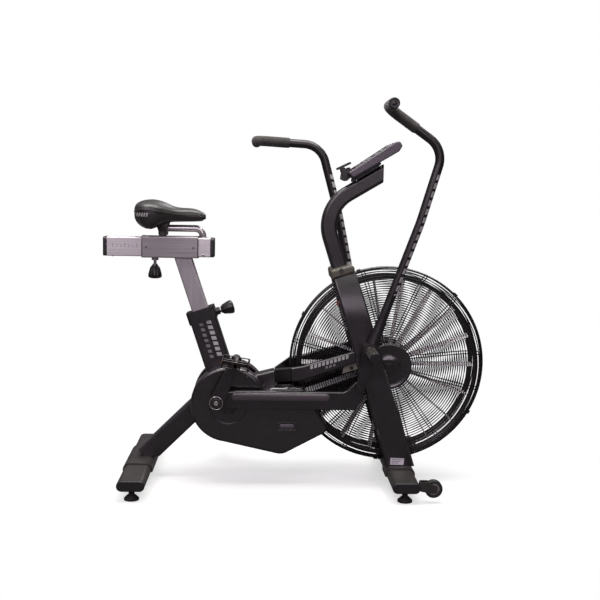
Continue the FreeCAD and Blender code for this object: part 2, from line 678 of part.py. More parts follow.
def link(rear, front):
    """A right-hand link: a deep bar under its two pins, with a horn up to the front one."""
    middle = rear[1] + 6
    low, high = middle - LINK_HEIGHT / 2, middle + LINK_HEIGHT / 2
    outline = ((rear[0] - 4, low + 6), (rear[0] + 60, low), (front[0] - 14, low), (front[0] + 11, high - 14),
               (front[0] + 13, front[1] + 10), (front[0] - 10, front[1] + 22), (front[0] - 44, high),
               (rear[0] + 60, high), (rear[0] - 4, high - 10))
    bar = slab(outline, (4, 30, 10, 10, 12, 8, 30, 30, 4), -LINK_OUT, -LINK_IN)
    bar = bar.fuse(rod(rear, 24, -LINK_OUT, -LINK_IN)).removeSplitter()
    bar = softened(bar, 3, on_face(-LINK_OUT))
    rib = slab(((rear[0] + 50, middle + 2), (front[0] - 110, middle + 2), (front[0] - 110, middle + 22),
                (rear[0] + 50, middle + 22)), 8, -LINK_OUT - 2, -LINK_OUT)
    rib = softened(rib, 1.5, on_face(-LINK_OUT - 2))
    eye = rod(rear, PIN_R + RUNNING, -LINK_OUT - 1, -LINK_IN + 1)
    tray = slab(((rear[0] + 40, low + 5), (front[0] - 20, low + 5), (front[0] - 20, high - 5),
                 (rear[0] + 40, high - 5)), 8, -LINK_OUT + 4, -LINK_IN + 1)
    return bar.fuse(rib).cut(eye).cut(tray).removeSplitter()


def link_ends():
    """Rear and front pins of the right link, then of the left one."""
    right = polar(CRANK, ECCENTRIC, ECCENTRIC_ANGLE), arm_pin()
    left_front = polar(PIVOT, LEVER, 270.0 - LEVER_LEAN + ARM_SPREAD)
    return right, (polar(CRANK, ECCENTRIC, ECCENTRIC_ANGLE + 180), left_front)


def link_on_left():
    """The left link is the same piece as the right one, tipped to run between its own two pins."""
    (rear, front), (left_rear, left_front) = link_ends()
    piece = mirrored(link(rear, front))
    piece.translate(V(left_rear[0] - rear[0], 0, left_rear[1] - rear[1]))
    rise = math.atan2(front[1] - rear[1], front[0] - rear[0])
    left_rise = math.atan2(left_front[1] - left_rear[1], left_front[0] - left_rear[0])
    return turned(piece, left_rear, math.degrees(rise - left_rise))


def arm():
    """Right arm: pivot sleeve, bent tube with its outward top, and the lever that the link drives."""
    pivot = V(PIVOT[0], -ARM_Y, PIVOT[1])
    points = [pivot + V(x, 0, z) for x, z in ARM_PATH]
    points.append(V(points[-1].x, -SIDE + 8, points[-1].z))
    tube = pipe(points, ARM_RADII, ARM_R, ARM_R - 2.5)
    sleeve = rod(PIVOT, HUB_SLEEVE_R, -LEVER_OUT, -LEG_OUT - 1)
    run = (points[1] - points[0]).normalize()
    socket = Part.makeCone(18.5, 16, SOCKET_LONG, points[0], run)
    rim = Part.makeCylinder(17, 6, points[0] + run * (SOCKET_LONG - 2), run)
    socket = socket.fuse(rim).cut(Part.makeCylinder(ARM_R - 1, 400, points[0], run))
    lever = slab_round(PIVOT, HUB_SLEEVE_R, arm_pin(), 13, -LEVER_OUT, -LEVER_IN)
    bolt = rod(arm_pin(), 8, -LEVER_OUT - 6, -LINK_OUT - APART - 2.6)
    body = tube.fuse([sleeve, socket, lever, bolt])
    hole = rod(PIVOT, STUB_R + RUNNING, -LEVER_OUT - 1, -LEG_OUT)
    return body.cut(hole).removeSplitter()


def grip():
    """Right foam grip: along the slanted top of the arm and round the bend to the side."""
    pivot = V(PIVOT[0], -ARM_Y, PIVOT[1])
    corner = pivot + V(ARM_PATH[-1][0], 0, ARM_PATH[-1][1])
    before = pivot + V(ARM_PATH[-2][0], 0, ARM_PATH[-2][1])
    start = corner + (before - corner).normalize() * GRIP_LENGTH
    end = V(corner.x, -SIDE + 4, corner.z)
    foam = pipe([start, corner, end], [ARM_RADII[-1]], GRIP_R, ARM_R + RUNNING)
    plug = Part.makeCylinder(GRIP_R, 4, V(corner.x, -SIDE, corner.z), Y_AXIS)
    return foam.fuse(plug)


def foot_peg():
    """Right foot peg: a fluted bar on the arm's pivot stub, with a cap on its end."""
    stub = rod(PIVOT, STUB_R, -LEVER_OUT - APART, -LEG_OUT)
    washer = rod(PIVOT, 22, -LEVER_OUT - 4, -LEVER_OUT - APART)
    bar = rod(PIVOT, 16, -SIDE + 10, -LEVER_OUT - 4)
    flutes = [rod(polar(PIVOT, 17, 30.0 * i), 2.2, -SIDE + 9, -LEVER_OUT - 8) for i in range(12)]
    cap = softened(rod(PIVOT, 16.5, -SIDE, -SIDE + 10), 2, on_face(-SIDE))
    return stub.fuse([washer, bar.cut(flutes), cap]).removeSplitter()


def second_side(right_piece):
    """The left arm stands at the other end of its swing: the mirror image, tipped back."""
    return turned(mirrored(right_piece), PIVOT, -ARM_SPREAD)


# ---------------------------------------------------------------- fan and cage
def cage_half():
    """The left half of the cage: a dished grille with a plain disc at its centre and a rolled rim."""
    def at_radius(radius, y):
        return V(FAN[0] + radius, y, FAN[1])

    def dish(inset):
        face_y, rim_r = CAGE_FACE - inset, CAGE_R - inset
        shoulder = at_radius(CAGE_SHOULDER_R, face_y)
        middle = at_radius(CAGE_SHOULDER_R + 47 - inset * 0.7, face_y * 0.62 + 6)
        return shoulder, middle, at_radius(rim_r, 12), at_radius(rim_r, 0)

    shoulder, middle, rim, edge = dish(0)
    in_shoulder, in_middle, in_rim, in_edge = dish(CAGE_WALL)
    centre = at_radius(HUB_TUBE_R + 4, CAGE_FACE)
    in_centre = at_radius(HUB_TUBE_R + 4, CAGE_FACE - CAGE_WALL)
    edges = [Part.Arc(shoulder, middle, rim).toShape(), Part.Arc(in_shoulder, in_middle, in_rim).toShape()]
    for start, end in ((centre, shoulder), (rim, edge), (edge, in_edge), (in_edge, in_rim),
                       (in_shoulder, in_centre), (in_centre, centre)):
        edges.append(Part.LineSegment(start, end).toShape())
    profile = Part.Face(Part.Wire(Part.__sortEdges__(edges)))
    shell = profile.revolve(at(FAN), Y_AXIS, 360)
    return shell.cut(Part.makeCompound(grille_slots()))


def grille_slots():
    """Ring-shaped slots between the wires, broken by the spokes."""
    slots = []
    inner = CAGE_DISC_R + 6
    while inner + SLOT_PITCH < CAGE_R - 6:
        outer = inner + SLOT_PITCH - SLOT_BAR
        band = ring(FAN, outer, inner, 5, CAGE_FACE + 5)
        half_spoke = 2.0
        spokes = [box(FAN[0], FAN[0] + CAGE_R, 0, CAGE_FACE + 10, FAN[1] - half_spoke, FAN[1] + half_spoke)
                  for _ in range(CAGE_SPOKES)]
        for index, spoke in enumerate(spokes):
            spoke.rotate(at(FAN), Y_AXIS, 360.0 * (index + 0.5) / CAGE_SPOKES)
        slots.extend(band.cut(spokes).Solids)
        inner += SLOT_PITCH
    return slots


HUB_TUBE_R = 16.0


def right_cage():
    """The right half, closed at its centre by a plain black disc."""
    disc = ring(FAN, CAGE_DISC_R, 12, -CAGE_FACE - 4, -CAGE_FACE)
    return mirrored(cage_half()), softened(disc, 2, on_face(-CAGE_FACE - 4))


def fan_hub():
    """Hub with its flanges, and the sprocket on its left end."""
    left_end = CHAIN_2_Y + 3
    tube = rod(FAN, HUB_TUBE_R, -CAGE_FACE + 6, left_end)
    drum = rod(FAN, HUB_R, -FAN_HALF, FAN_HALF)
    sprocket = toothed(FAN, FAN_TEETH, CHAIN_2_Y)
    hollow = ring(FAN, HUB_R - 4, HUB_TUBE_R, -FAN_HALF + 4, FAN_HALF - 4)
    hub = drum.cut(hollow).fuse([tube, sprocket])
    return hub.cut(rod(FAN, AXLE_R + RUNNING, -200, 200)).removeSplitter()


def fan_blades():
    rim_in = FAN_RIM_R - FAN_RIM_WIDTH
    blades = []
    for index in range(BLADES):
        blade = box(FAN[0] + HUB_R + 0.5, FAN[0] + rim_in + 4, -FAN_HALF + 3, FAN_HALF - 3,
                    FAN[1] - BLADE_THICK / 2, FAN[1] + BLADE_THICK / 2)
        blade.rotate(at(FAN), Y_AXIS, 360.0 * index / BLADES)
        blades.append(blade)
    return blades


def fan_rims():
    """Two flat rings that hold the tips of the blades, and two that hold them to the hub."""
    rings = []
    for y0 in (-FAN_HALF, FAN_HALF - 3):
        rings.append(ring(FAN, FAN_RIM_R, FAN_RIM_R - FAN_RIM_WIDTH, y0, y0 + 3))
        rings.append(ring(FAN, HUB_R + 26, HUB_R, y0, y0 + 3))
    return rings


def fan_axle():
    """Fixed axle, its bracket on each fork leg, and its nuts."""
    bracket_in, bracket_out = LEG_IN - 5, LEG_IN
    axle = rod(FAN, AXLE_R, -bracket_out - 4, bracket_out + 4)
    outline = ((216.0, 358.0), (FAN[0] + 10, 356.0), (FAN[0] + 28, 366.0), (FAN[0] + 26, 402.0),
               (212.0, 404.0))
    plate = slab(outline, (3, 6, 8, 8, 3), -bracket_out, -bracket_in)
    nut = rod(FAN, 13, -bracket_out - 9, -bracket_out)
    spacer = rod(FAN, 12, -bracket_in, -CAGE_FACE + 6 - APART)
    side = [plate, nut, spacer]
    left_spacer = rod(FAN, 11, CHAIN_2_Y + 3 + APART, bracket_in)
    return axle.fuse(side + [mirrored(plate), mirrored(nut), left_spacer]).removeSplitter()


# ---------------------------------------------------------------- seat
KNOB_UP = 284.0
COLLAR_LOW, COLLAR_HIGH = 268.0, 308.0
POST_TOP = 470.0


def post_collar():
    """Plastic collar on the mouth of the seat tube, with the boss of the height knob."""
    outside = seat_box(COLLAR_LOW, COLLAR_HIGH, SEAT_TUBE_DEPTH + 8, SEAT_TUBE_WIDE + 8, 10)
    around = seat_box(COLLAR_LOW - 1, SEAT_TUBE_TOP, SEAT_TUBE_DEPTH, SEAT_TUBE_WIDE, 8)
    mouth = seat_box(COLLAR_LOW - 60, COLLAR_HIGH + 1, POST_DEPTH + 2 * APART, POST_WIDE + 2 * APART, 4)
    lining = seat_box(SEAT_TUBE_TOP - 50, SEAT_TUBE_TOP, SEAT_TUBE_DEPTH - 6.2, SEAT_TUBE_WIDE - 6.2, 6)
    boss = Part.makeCylinder(12, 14, up_seat(KNOB_UP, SEAT_TUBE_DEPTH / 2 + 2), SEAT_FORWARD)
    hole = Part.makeCylinder(5 + APART, 80, up_seat(KNOB_UP, 0), SEAT_FORWARD)
    body = outside.cut(around).fuse([lining, boss]).cut(mouth).cut(hole)
    return body.removeSplitter()


def pull_knob(tip, axis, stem_long, knob_long, knob_r):
    """An eight-sided pull knob on its plunger. tip is the plunger's inner end."""
    plunger = Part.makeCylinder(5, stem_long, tip, axis)
    base = tip + axis * stem_long
    side = Y_AXIS
    up = axis.cross(side)
    corners = []
    for index in range(8):
        angle = math.radians(45 * index + 22.5)
        corners.append(base + side * (knob_r * math.cos(angle)) + up * (knob_r * math.sin(angle)))
    face = Part.Face(Part.makePolygon(corners + [corners[0]]))
    head = face.extrude(axis * knob_long)
    cone = Part.makeCone(knob_r * 1.25, knob_r * 0.9, knob_long, base, axis)
    return plunger.fuse(head.common(cone)).removeSplitter()


def post_knob():
    tip = up_seat(KNOB_UP, POST_DEPTH / 2 + APART + 0.3)
    return pull_knob(tip, SEAT_FORWARD, 37, 41, 22)


def slider_knob():
    tip = V(-450, 0, SLIDER_Z - SLIDER_HEIGHT / 2 - APART - 0.3)
    return pull_knob(tip, V(0, 0, -1), 29, 41, 22)


def seat_post():
    low = SEAT_TUBE_TOP - POST_IN_TUBE
    outer = seat_box(low, POST_TOP + 60, POST_DEPTH, POST_WIDE, 5)
    inner = seat_box(low - 1, POST_TOP + 70, POST_DEPTH - 5, POST_WIDE - 5, 3)
    sleeve_low = SLIDER_Z - SLEEVE_HEIGHT / 2
    return outer.cut(inner).common(box(-700, 0, -60, 60, 0, sleeve_low))


def seat_sleeve():
    """The outer box that the slider runs through, with the boss of its knob."""
    z0, z1 = SLIDER_Z - SLEEVE_HEIGHT / 2, SLIDER_Z + SLEEVE_HEIGHT / 2
    section = rounded_section(V(SLEEVE[0], 0, SLIDER_Z), V(1, 0, 0), SLEEVE_HEIGHT, SLEEVE_WIDE, 4)
    outer = section.extrude(V(SLEEVE[1] - SLEEVE[0], 0, 0))
    hollow = rounded_section(V(SLEEVE[0] - 1, 0, SLIDER_Z), V(1, 0, 0), SLIDER_HEIGHT + 2 * APART,
                             SLIDER_WIDE + 2 * APART, 4).extrude(V(SLEEVE[1] - SLEEVE[0] + 2, 0, 0))
    boss = Part.makeCylinder(11, 9, V(-450, 0, z0 - 9))
    hole = Part.makeCylinder(5 + APART, 40, V(-450, 0, z0 - 20))
    return outer.cut(hollow).fuse(boss).cut(hole).removeSplitter()


def seat_slider():
    section = rounded_section(V(SLIDER[0], 0, SLIDER_Z), V(1, 0, 0), SLIDER_HEIGHT, SLIDER_WIDE, 4)
    bore = rounded_section(V(SLIDER[0] - 1, 0, SLIDER_Z), V(1, 0, 0), SLIDER_HEIGHT - 5, SLIDER_WIDE - 5, 2)
    length = SLIDER[1] - SLIDER[0]
    tube = section.extrude(V(length, 0, 0)).cut(bore.extrude(V(length + 2, 0, 0)))
    return tube.cut(Part.makeCylinder(STEM_R, 40, V(STEM_X, 0, SLIDER_Z + 10)))


def slider_caps():
    caps = []
    for start, sign in ((SLIDER[0], -1), (SLIDER[1], 1)):
        section = rounded_section(V(start, 0, SLIDER_Z), V(1, 0, 0), SLIDER_HEIGHT, SLIDER_WIDE, 8)
        face = section.extrude(V(sign * SLIDER_CAP, 0, 0))
        plug = rounded_section(V(start, 0, SLIDER_Z), V(1, 0, 0), SLIDER_HEIGHT - 5.2, SLIDER_WIDE - 5.2, 2)
        end_x = start + sign * SLIDER_CAP
        face = softened(face, 3, lambda edge: abs(edge.BoundBox.XMin - end_x) < 1e-3
                        and abs(edge.BoundBox.XMax - end_x) < 1e-3)
        caps.append(face.fuse(plug.extrude(V(-sign * 8, 0, 0))))
    return caps


CLAMP_REAR, CLAMP_FRONT, CLAMP_HALF = -438.0, -410.0, 19.0
CLAMP_LOW, CLAMP_HIGH = 781.0, 818.0
CLAMP_BOLT, CLAMP_BOLT_R = (-425.0, 788.0), 4.0
CHEEK_IN, CHEEK_OUT = 19.6, 22.6


def saddle_stem():
    """Bent chrome tube from the slider back to the saddle clamp."""
    points = [V(STEM_X, 0, SLIDER_Z - 25), V(STEM_X, 0, STEM_TOP), V(CLAMP_REAR, 0, STEM_TOP)]
    return pipe(points, [24], STEM_R, STEM_R - 2.5)


def saddle_clamp():
    """Clamp round the end of the stem, with the bolt that the saddle tips on."""
    outline = ((CLAMP_REAR, CLAMP_LOW), (CLAMP_FRONT, CLAMP_LOW), (CLAMP_FRONT, CLAMP_HIGH),
               (CLAMP_REAR, CLAMP_HIGH))
    block = slab(outline, 5, -CLAMP_HALF, CLAMP_HALF)
    hole = Part.makeCylinder(STEM_R, 60, V(-460, 0, STEM_TOP), V(1, 0, 0))
    bolt = rod(CLAMP_BOLT, CLAMP_BOLT_R, -CHEEK_OUT - 4, CHEEK_OUT + 4)
    heads = [rod(CLAMP_BOLT, 8, y, y + 4) for y in (-CHEEK_OUT - APART - 4, CHEEK_OUT + APART)]
    return block.cut(hole).fuse([bolt] + heads).removeSplitter()


SADDLE_SECTIONS = (
    # X, half width, lowest Z, highest Z
    (-511.0, 52.0, 838.0, 872.0),
    (-495.0, 86.0, 818.0, 886.0),
    (-460.0, 100.0, 806.0, 893.0),
    (-430.0, 88.0, 823.0, 887.0),
    (-408.0, 72.0, 827.0, 880.0),
    (-375.0, 48.0, 828.0, 870.0),
    (-330.0, 31.0, 828.0, 868.0),
    (-300.0, 25.0, 829.0, 862.0),
    (-288.0, 17.0, 832.0, 852.0),
)


SADDLE_POINTS, SADDLE_SQUARENESS = 16, 0.85


def saddle_section(x, half, low, high):
    """One closed cross-section of the saddle, a little squarer than an ellipse."""
    middle, tall = (low + high) / 2, (high - low) / 2
    points = []
    for index in range(SADDLE_POINTS):
        angle = 2 * math.pi * index / SADDLE_POINTS
        across = math.copysign(abs(math.cos(angle)) ** SADDLE_SQUARENESS, math.cos(angle))
        up = math.copysign(abs(math.sin(angle)) ** SADDLE_SQUARENESS, math.sin(angle))
        points.append(V(x, half * across, middle + tall * up))
    curve = Part.BSplineCurve()
    curve.interpolate(points, PeriodicFlag=True)
    return Part.Wire(curve.toShape())


def saddle():
    """Padded saddle, wide at the back with a narrow nose, on two cheeks that hang beside the clamp."""
    pad = Part.makeLoft([saddle_section(*section) for section in SADDLE_SECTIONS], True)
    x, z = CLAMP_BOLT
    outline = ((x - 12, z - 6.5), (x + 12, z - 6.5), (x + 18, 840), (x - 18, 840))
    cheek = slab(outline, (6, 6, 2, 2), CHEEK_IN, CHEEK_OUT)
    cheek = cheek.cut(rod(CLAMP_BOLT, CLAMP_BOLT_R + RUNNING, CHEEK_IN - 1, CHEEK_OUT + 1))
    return pad.fuse([cheek, mirrored(cheek)])


# ---------------------------------------------------------------- console
CONSOLE = ((154.0, 988.0), (167.0, 971.0), (308.0, 1056.0),
           (318.0, 1073.0), (309.0, 1087.0), (295.0, 1084.0))
CONSOLE_RADII = (5, 6, 8, 8, 6, 4)
CONSOLE_HALF, CONSOLE_WALL = 98.0, 4.0
CONSOLE_FACE = (V(154, 0, 988), V(295, 0, 1084))
CONSOLE_RUN = (CONSOLE_FACE[1] - CONSOLE_FACE[0]).normalize()
CONSOLE_OUT = V(-CONSOLE_RUN.z, 0, CONSOLE_RUN.x)
SCREEN = (58.0, 150.0, 74.0)      # along the face from its low edge: start, end, and half width
BUTTONS = {"start_button": -36.0, "stop_button": 36.0}
BUTTON_ALONG, BUTTON_R, BUTTON_PROUD = 32.0, 12.0, 3.0


def face_point(along, across, out=0.0):
    """A point on the console's front face."""
    return CONSOLE_FACE[0] + CONSOLE_RUN * along + Y_AXIS * across + CONSOLE_OUT * out


def face_block(start, end, half, low, high):
    """A block on the console's face, sunk to low and standing to high."""
    corners = [face_point(start, -half, low), face_point(end, -half, low), face_point(end, half, low),
               face_point(start, half, low)]
    face = Part.Face(Part.makePolygon(corners + [corners[0]]))
    return face.extrude(CONSOLE_OUT * (high - low))


def console_housing():
    body = slab(CONSOLE, CONSOLE_RADII, -CONSOLE_HALF, CONSOLE_HALF)
    body = softened(body, 4, lambda edge: on_face(CONSOLE_HALF)(edge) or on_face(-CONSOLE_HALF)(edge))
    body = body.cut(face_block(*SCREEN, -4, 5))
    for across in BUTTONS.values():
        well = Part.makeCylinder(BUTTON_R + APART, 12, face_point(BUTTON_ALONG, across, -9), CONSOLE_OUT)
        body = body.cut(well)
    hollow = inset_slab(CONSOLE, CONSOLE_RADII, CONSOLE_WALL, CONSOLE_WALL - CONSOLE_HALF,
                        CONSOLE_HALF - CONSOLE_WALL)
    kept = [face_block(SCREEN[0] - 3, SCREEN[1] + 3, SCREEN[2] + 3, -7, 1)]
    for across in BUTTONS.values():
        kept.append(Part.makeCylinder(BUTTON_R + 3, 14, face_point(BUTTON_ALONG, across, -12), CONSOLE_OUT))
    return body.cut(hollow.cut(kept))


def console_screen():
    start, end, half = SCREEN
    return face_block(start + 0.05, end - 0.05, half - 0.05, -4, -1)


def button(across):
    cap = Part.makeCylinder(BUTTON_R, 3 + BUTTON_PROUD, face_point(BUTTON_ALONG, across, -3), CONSOLE_OUT)
    edge_out = face_point(BUTTON_ALONG, across, BUTTON_PROUD)
    return softened(cap, 1, lambda edge: abs((edge.CenterOfMass - edge_out).Length) < 0.5)


def console_bracket():
    """Plastic foot between the mast and the console, with the ledge that stands at the low edge."""
    outline = ((170.0, 958.0), (250.0, 1006.0), (262.0, 1020.0), (254.0, 1026.0), (172.0, 976.0))
    foot = slab(outline, 3, -28, 28)
    foot = foot.cut(slab(CONSOLE, CONSOLE_RADII, -CONSOLE_HALF, CONSOLE_HALF))
    run = at(MAST_CORNER) - at(MAST_END)
    mast_block = rounded_section(at(MAST_END), run, MAST_DEPTH, 2 * MAST_HALF, 10).extrude(run)
    foot = max(foot.cut(mast_block).Solids, key=lambda piece: piece.Volume)
    post = bar_between((148.0, 975.0), (140.0, 1004.0), 12, -40, 40, 3)
    lip = bar_between((124.0, 1000.0), (164.0, 1020.0), 7, -44, 44, 3)
    keel = slab(((136.0, 968.0), (152.0, 962.0), (163.0, 972.0), (151.0, 987.0), (138.0, 986.0)), 5, -40, 40)
    ledge = post.fuse([lip, keel]).cut(slab(CONSOLE, CONSOLE_RADII, -CONSOLE_HALF, CONSOLE_HALF))
    return foot, max(ledge.removeSplitter().Solids, key=lambda piece: piece.Volume)


# ---------------------------------------------------------------- small fastenings
CROWN_BOLT = (138.0, 684.0)
CLIP_ANGLES = (46, 108, 150, 265, 330)      # round the rim, from +X towards +Z


def frame_bolts():
    """The bolt heads on the ends of the crown, and the clips that hold the two cage rims together."""
    bolts = [rod(CROWN_BOLT, 7, y, y + 4) for y in (-CROWN_HALF - 4, CROWN_HALF)]
    for angle in CLIP_ANGLES:
        clip = box(FAN[0] + CAGE_R, FAN[0] + CAGE_R + 3, -14, 14, FAN[1] - 6, FAN[1] + 6)
        clip.rotate(at(FAN), Y_AXIS, -angle)
        bolts.append(clip)
    return bolts


# ---------------------------------------------------------------- the nodes
def build_frame():
    save("seat_tube", seat_tube())
    save("rear_leg", rear_leg())
    save("drive_beam", drive_beam())
    save("frame_junction", frame_junction())
    save("side_beam_right", side_beam())
    save("side_beam_left", mirrored(side_beam()))
    save("fork_leg_left", fork_leg())
    save("fork_leg_right", mirrored(fork_leg()))
    save("fork_crown", fork_crown())
    save("mast", mast())
    save("frame_bolts", *frame_bolts())


def build_feet():
    save("rear_foot_bar", foot_bar(REAR_FOOT_X))
    save("front_foot_bar", foot_bar(FRONT_FOOT_X))
    save("foot_end_caps", *[foot_cap(x, sign) for x in (REAR_FOOT_X, FRONT_FOOT_X) for sign in (-1, 1)])
    plates = [saddle_plate(REAR_FOOT_X, 115, 0)]
    plates += [saddle_plate(FRONT_FOOT_X, 40, sign * (LEG_IN + LEG_OUT) / 2) for sign in (-1, 1)]
    save("foot_brackets", *plates, wheel_bracket(), mirrored(wheel_bracket()))
    for side, sign in (("right", -1), ("left", 1)):
        save("rear_foot_" + side, levelling_foot(REAR_FOOT_X, sign * FOOT_Y))
        save("front_foot_" + side, levelling_foot(FRONT_FOOT_X, sign * FOOT_Y))
    save("transport_wheel_right", transport_wheel())
    save("transport_wheel_left", mirrored(transport_wheel()))


def build_drive():
    left, guard = left_cover()
    save("chain_cover_right", mirrored(chain_cover()))
    save("chain_cover_left", left, guard)
    save("bearings", *bearings())
    save("crank_spindle", crank_spindle())
    save("chainring", chainring())
    save("jackshaft", jackshaft())
    save("chains", chain_loop(CRANK, CHAINRING_TEETH, JACK, JACK_SMALL_TEETH, CHAIN_1_Y),
         chain_loop(JACK, JACK_LARGE_TEETH, FAN, FAN_TEETH, CHAIN_2_Y))
    save("crank_arm_right", crank_arm())
    save("crank_arm_left", opposite(crank_arm()))
    save("pedal_right", pedal())
    save("pedal_left", opposite(pedal()))
    save("link_right", link(*link_ends()[0]))
    save("link_left", link_on_left())


def build_arms():
    save("arm_right", arm())
    save("arm_left", second_side(arm()))
    save("grip_right", grip())
    save("grip_left", second_side(grip()))
    save("foot_pegs", foot_peg(), mirrored(foot_peg()))


def build_fan():
    cage, disc = right_cage()
    save("cage_right", cage, disc)
    save("cage_left", cage_half())
    save("fan_axle", fan_axle())
    save("fan_hub", fan_hub())
    save("fan_blades", *fan_blades())
    save("fan_rims", *fan_rims())


def build_seat():
    save("post_collar", post_collar())
    save("post_knob", post_knob())
    save("seat_post", seat_post())
    save("seat_sleeve", seat_sleeve())
    save("seat_slider", seat_slider())
    save("slider_caps", *slider_caps())
    save("slider_knob", slider_knob())
    save("saddle_stem", saddle_stem())
    save("saddle_clamp", saddle_clamp())
    save("saddle", saddle())


def build_console():
    save("console_housing", console_housing())
    save("console_screen", console_screen())
    for name, across in BUTTONS.items():
        save(name, button(across))
    save("console_bracket", *console_bracket())


build_frame()
build_feet()
build_drive()
build_arms()
build_fan()
build_seat()
build_console()
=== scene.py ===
"""Looks of the air bike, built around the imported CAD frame.

Everything is in metres in the CAD frame: X forwards, Y to the rider's left, Z up from the floor.
Right-hand pieces lie at negative Y. Each new piece rides on the CAD body it belongs to.
"""

from math import atan2, ceil, cos, exp, pi, radians, sin, sqrt, tan

import bmesh
import bpy
from mathutils import Matrix, Vector


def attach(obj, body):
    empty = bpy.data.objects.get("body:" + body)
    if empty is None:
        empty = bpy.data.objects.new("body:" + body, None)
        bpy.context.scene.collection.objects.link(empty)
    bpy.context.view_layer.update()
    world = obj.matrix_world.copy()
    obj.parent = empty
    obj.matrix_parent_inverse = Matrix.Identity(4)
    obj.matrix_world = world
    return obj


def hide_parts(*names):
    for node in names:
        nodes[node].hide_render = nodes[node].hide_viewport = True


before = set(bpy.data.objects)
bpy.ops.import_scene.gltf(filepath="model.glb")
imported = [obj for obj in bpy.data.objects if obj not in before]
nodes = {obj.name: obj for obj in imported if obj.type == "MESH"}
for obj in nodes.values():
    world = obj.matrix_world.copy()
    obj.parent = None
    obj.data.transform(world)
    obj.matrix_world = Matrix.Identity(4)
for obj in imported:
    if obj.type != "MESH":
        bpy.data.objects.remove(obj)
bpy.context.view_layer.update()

# ---------------------------------------------------------------- places, the same as the CAD's
FAN = Vector((0.297, 0, 0.380))
CRANK = Vector((-0.208, 0, 0.256))
PIVOT = Vector((0.229, 0, 0.441))
ARM_Y = 0.140
SIDE = 0.297
SEAT_LEAN = radians(18.5)
SEAT_RUN = Vector((-sin(SEAT_LEAN), 0, cos(SEAT_LEAN)))
SEAT_FORWARD = Vector((cos(SEAT_LEAN), 0, sin(SEAT_LEAN)))
ARM_SPREAD = radians(31.8)
Y, UP = Vector((0, 1, 0)), Vector((0, 0, 1))


def up_seat(distance, forward):
    """A point by its distance up the seat tube from the crank and forwards of the tube's axis."""
    return CRANK + SEAT_RUN * distance + SEAT_FORWARD * forward


def polar(centre, radius, degrees, y=0.0):
    """A point at an angle from +X towards +Z."""
    angle = radians(degrees)
    return Vector((centre.x + radius * cos(angle), y, centre.z + radius * sin(angle)))


# ---------------------------------------------------------------- materials
class Paint:
    """A node material on object coordinates, so that its grain moves with the piece."""

    def __init__(self, name, color, roughness, metallic=0.0, specular=0.5):
        self.material = bpy.data.materials.new(name)
        self.material.use_nodes = True
        self.tree = self.material.node_tree
        self.shader = self.tree.nodes["Principled BSDF"]
        self.color = (*color, 1.0)
        self.put("Base Color", self.color)
        self.put("Roughness", roughness)
        self.put("Metallic", metallic)
        self.put("Specular IOR Level", specular)
        self.coordinates = self.tree.nodes.new("ShaderNodeTexCoord").outputs["Object"]
        self.height = None

    def node(self, kind, inputs=None, **settings):
        made = self.tree.nodes.new(kind)
        for key, value in settings.items():
            setattr(made, key, value)
        for key, value in (inputs or {}).items():
            self.feed(made.inputs[key], value)
        return made

    def feed(self, socket, value):
        """A socket takes a value, or a link from another socket."""
        if isinstance(value, bpy.types.NodeSocket):
            self.tree.links.new(value, socket)
        else:
            socket.default_value = value

    def put(self, name, value):
        self.feed(self.shader.inputs[name], value)

    def calc(self, operation, *values):
        """The result of a math node; a value is a number or a socket."""
        return self.node("ShaderNodeMath", dict(enumerate(values)), operation=operation).outputs[0]

    def axes(self):
        """The object coordinates one by one, by the names X, Y and Z."""
        return self.node("ShaderNodeSeparateXYZ", {"Vector": self.coordinates}).outputs

    def marked(self, mask, color):
        """The base colour gives way to another one where the mask is 1."""
        base = self.shader.inputs["Base Color"].links[0].from_socket
        self.put("Base Color", self.mixed(mask, base, (*color, 1.0)))

    def stretched(self, scale, turn=(0, 0, 0)):
        """Object coordinates stretched along an axis, for brushing and flutes."""
        settings = {"Vector": self.coordinates, "Rotation": turn, "Scale": scale}
        return self.node("ShaderNodeMapping", settings).outputs["Vector"]

    def noise(self, scale, detail=3.0, vector=None):
        made = self.node("ShaderNodeTexNoise", {"Vector": vector or self.coordinates, "Scale": scale,
                                                "Detail": detail, "Roughness": 0.55})
        return made.outputs["Fac"]

    def between(self, value, low, high, to_low, to_high):
        made = self.node("ShaderNodeMapRange", {"Value": value, "From Min": low, "From Max": high,
                                                "To Min": to_low, "To Max": to_high})
        return made.outputs["Result"]

    def mixed(self, factor, first, second):
        made = self.node("ShaderNodeMix", {6: first, 7: second}, data_type="RGBA")
        self.feed(made.inputs["Factor"], factor)
        return made.outputs[2]

    def mottled(self, other, scale):
        """The base colour drifts towards another one in soft patches."""
        patches = self.between(self.noise(scale), 0.35, 0.65, 0, 1)
        self.put("Base Color", self.mixed(patches, self.color, (*other, 1.0)))
        return self

    def uneven_gloss(self, low, high, scale):
        self.put("Roughness", self.between(self.noise(scale), 0.3, 0.7, low, high))
        return self

    def bumped(self, value, distance, strength=0.6):
        settings = {"Height": value, "Distance": distance, "Strength": strength}
        if self.height is not None:
            settings["Normal"] = self.height
        self.height = self.node("ShaderNodeBump", settings).outputs["Normal"]
        self.put("Normal", self.height)
        return self

    def grain(self, scale, distance, strength=0.5):
        return self.bumped(self.noise(scale, detail=2), distance, strength)

    def where(self, axis, low, high):
        """1 where an object coordinate is between two values, with a crisp edge."""
        value = self.axes()[axis]
        above = self.calc("GREATER_THAN", value, low)
        below = self.calc("LESS_THAN", value, high)
        return self.calc("MULTIPLY", above, below)


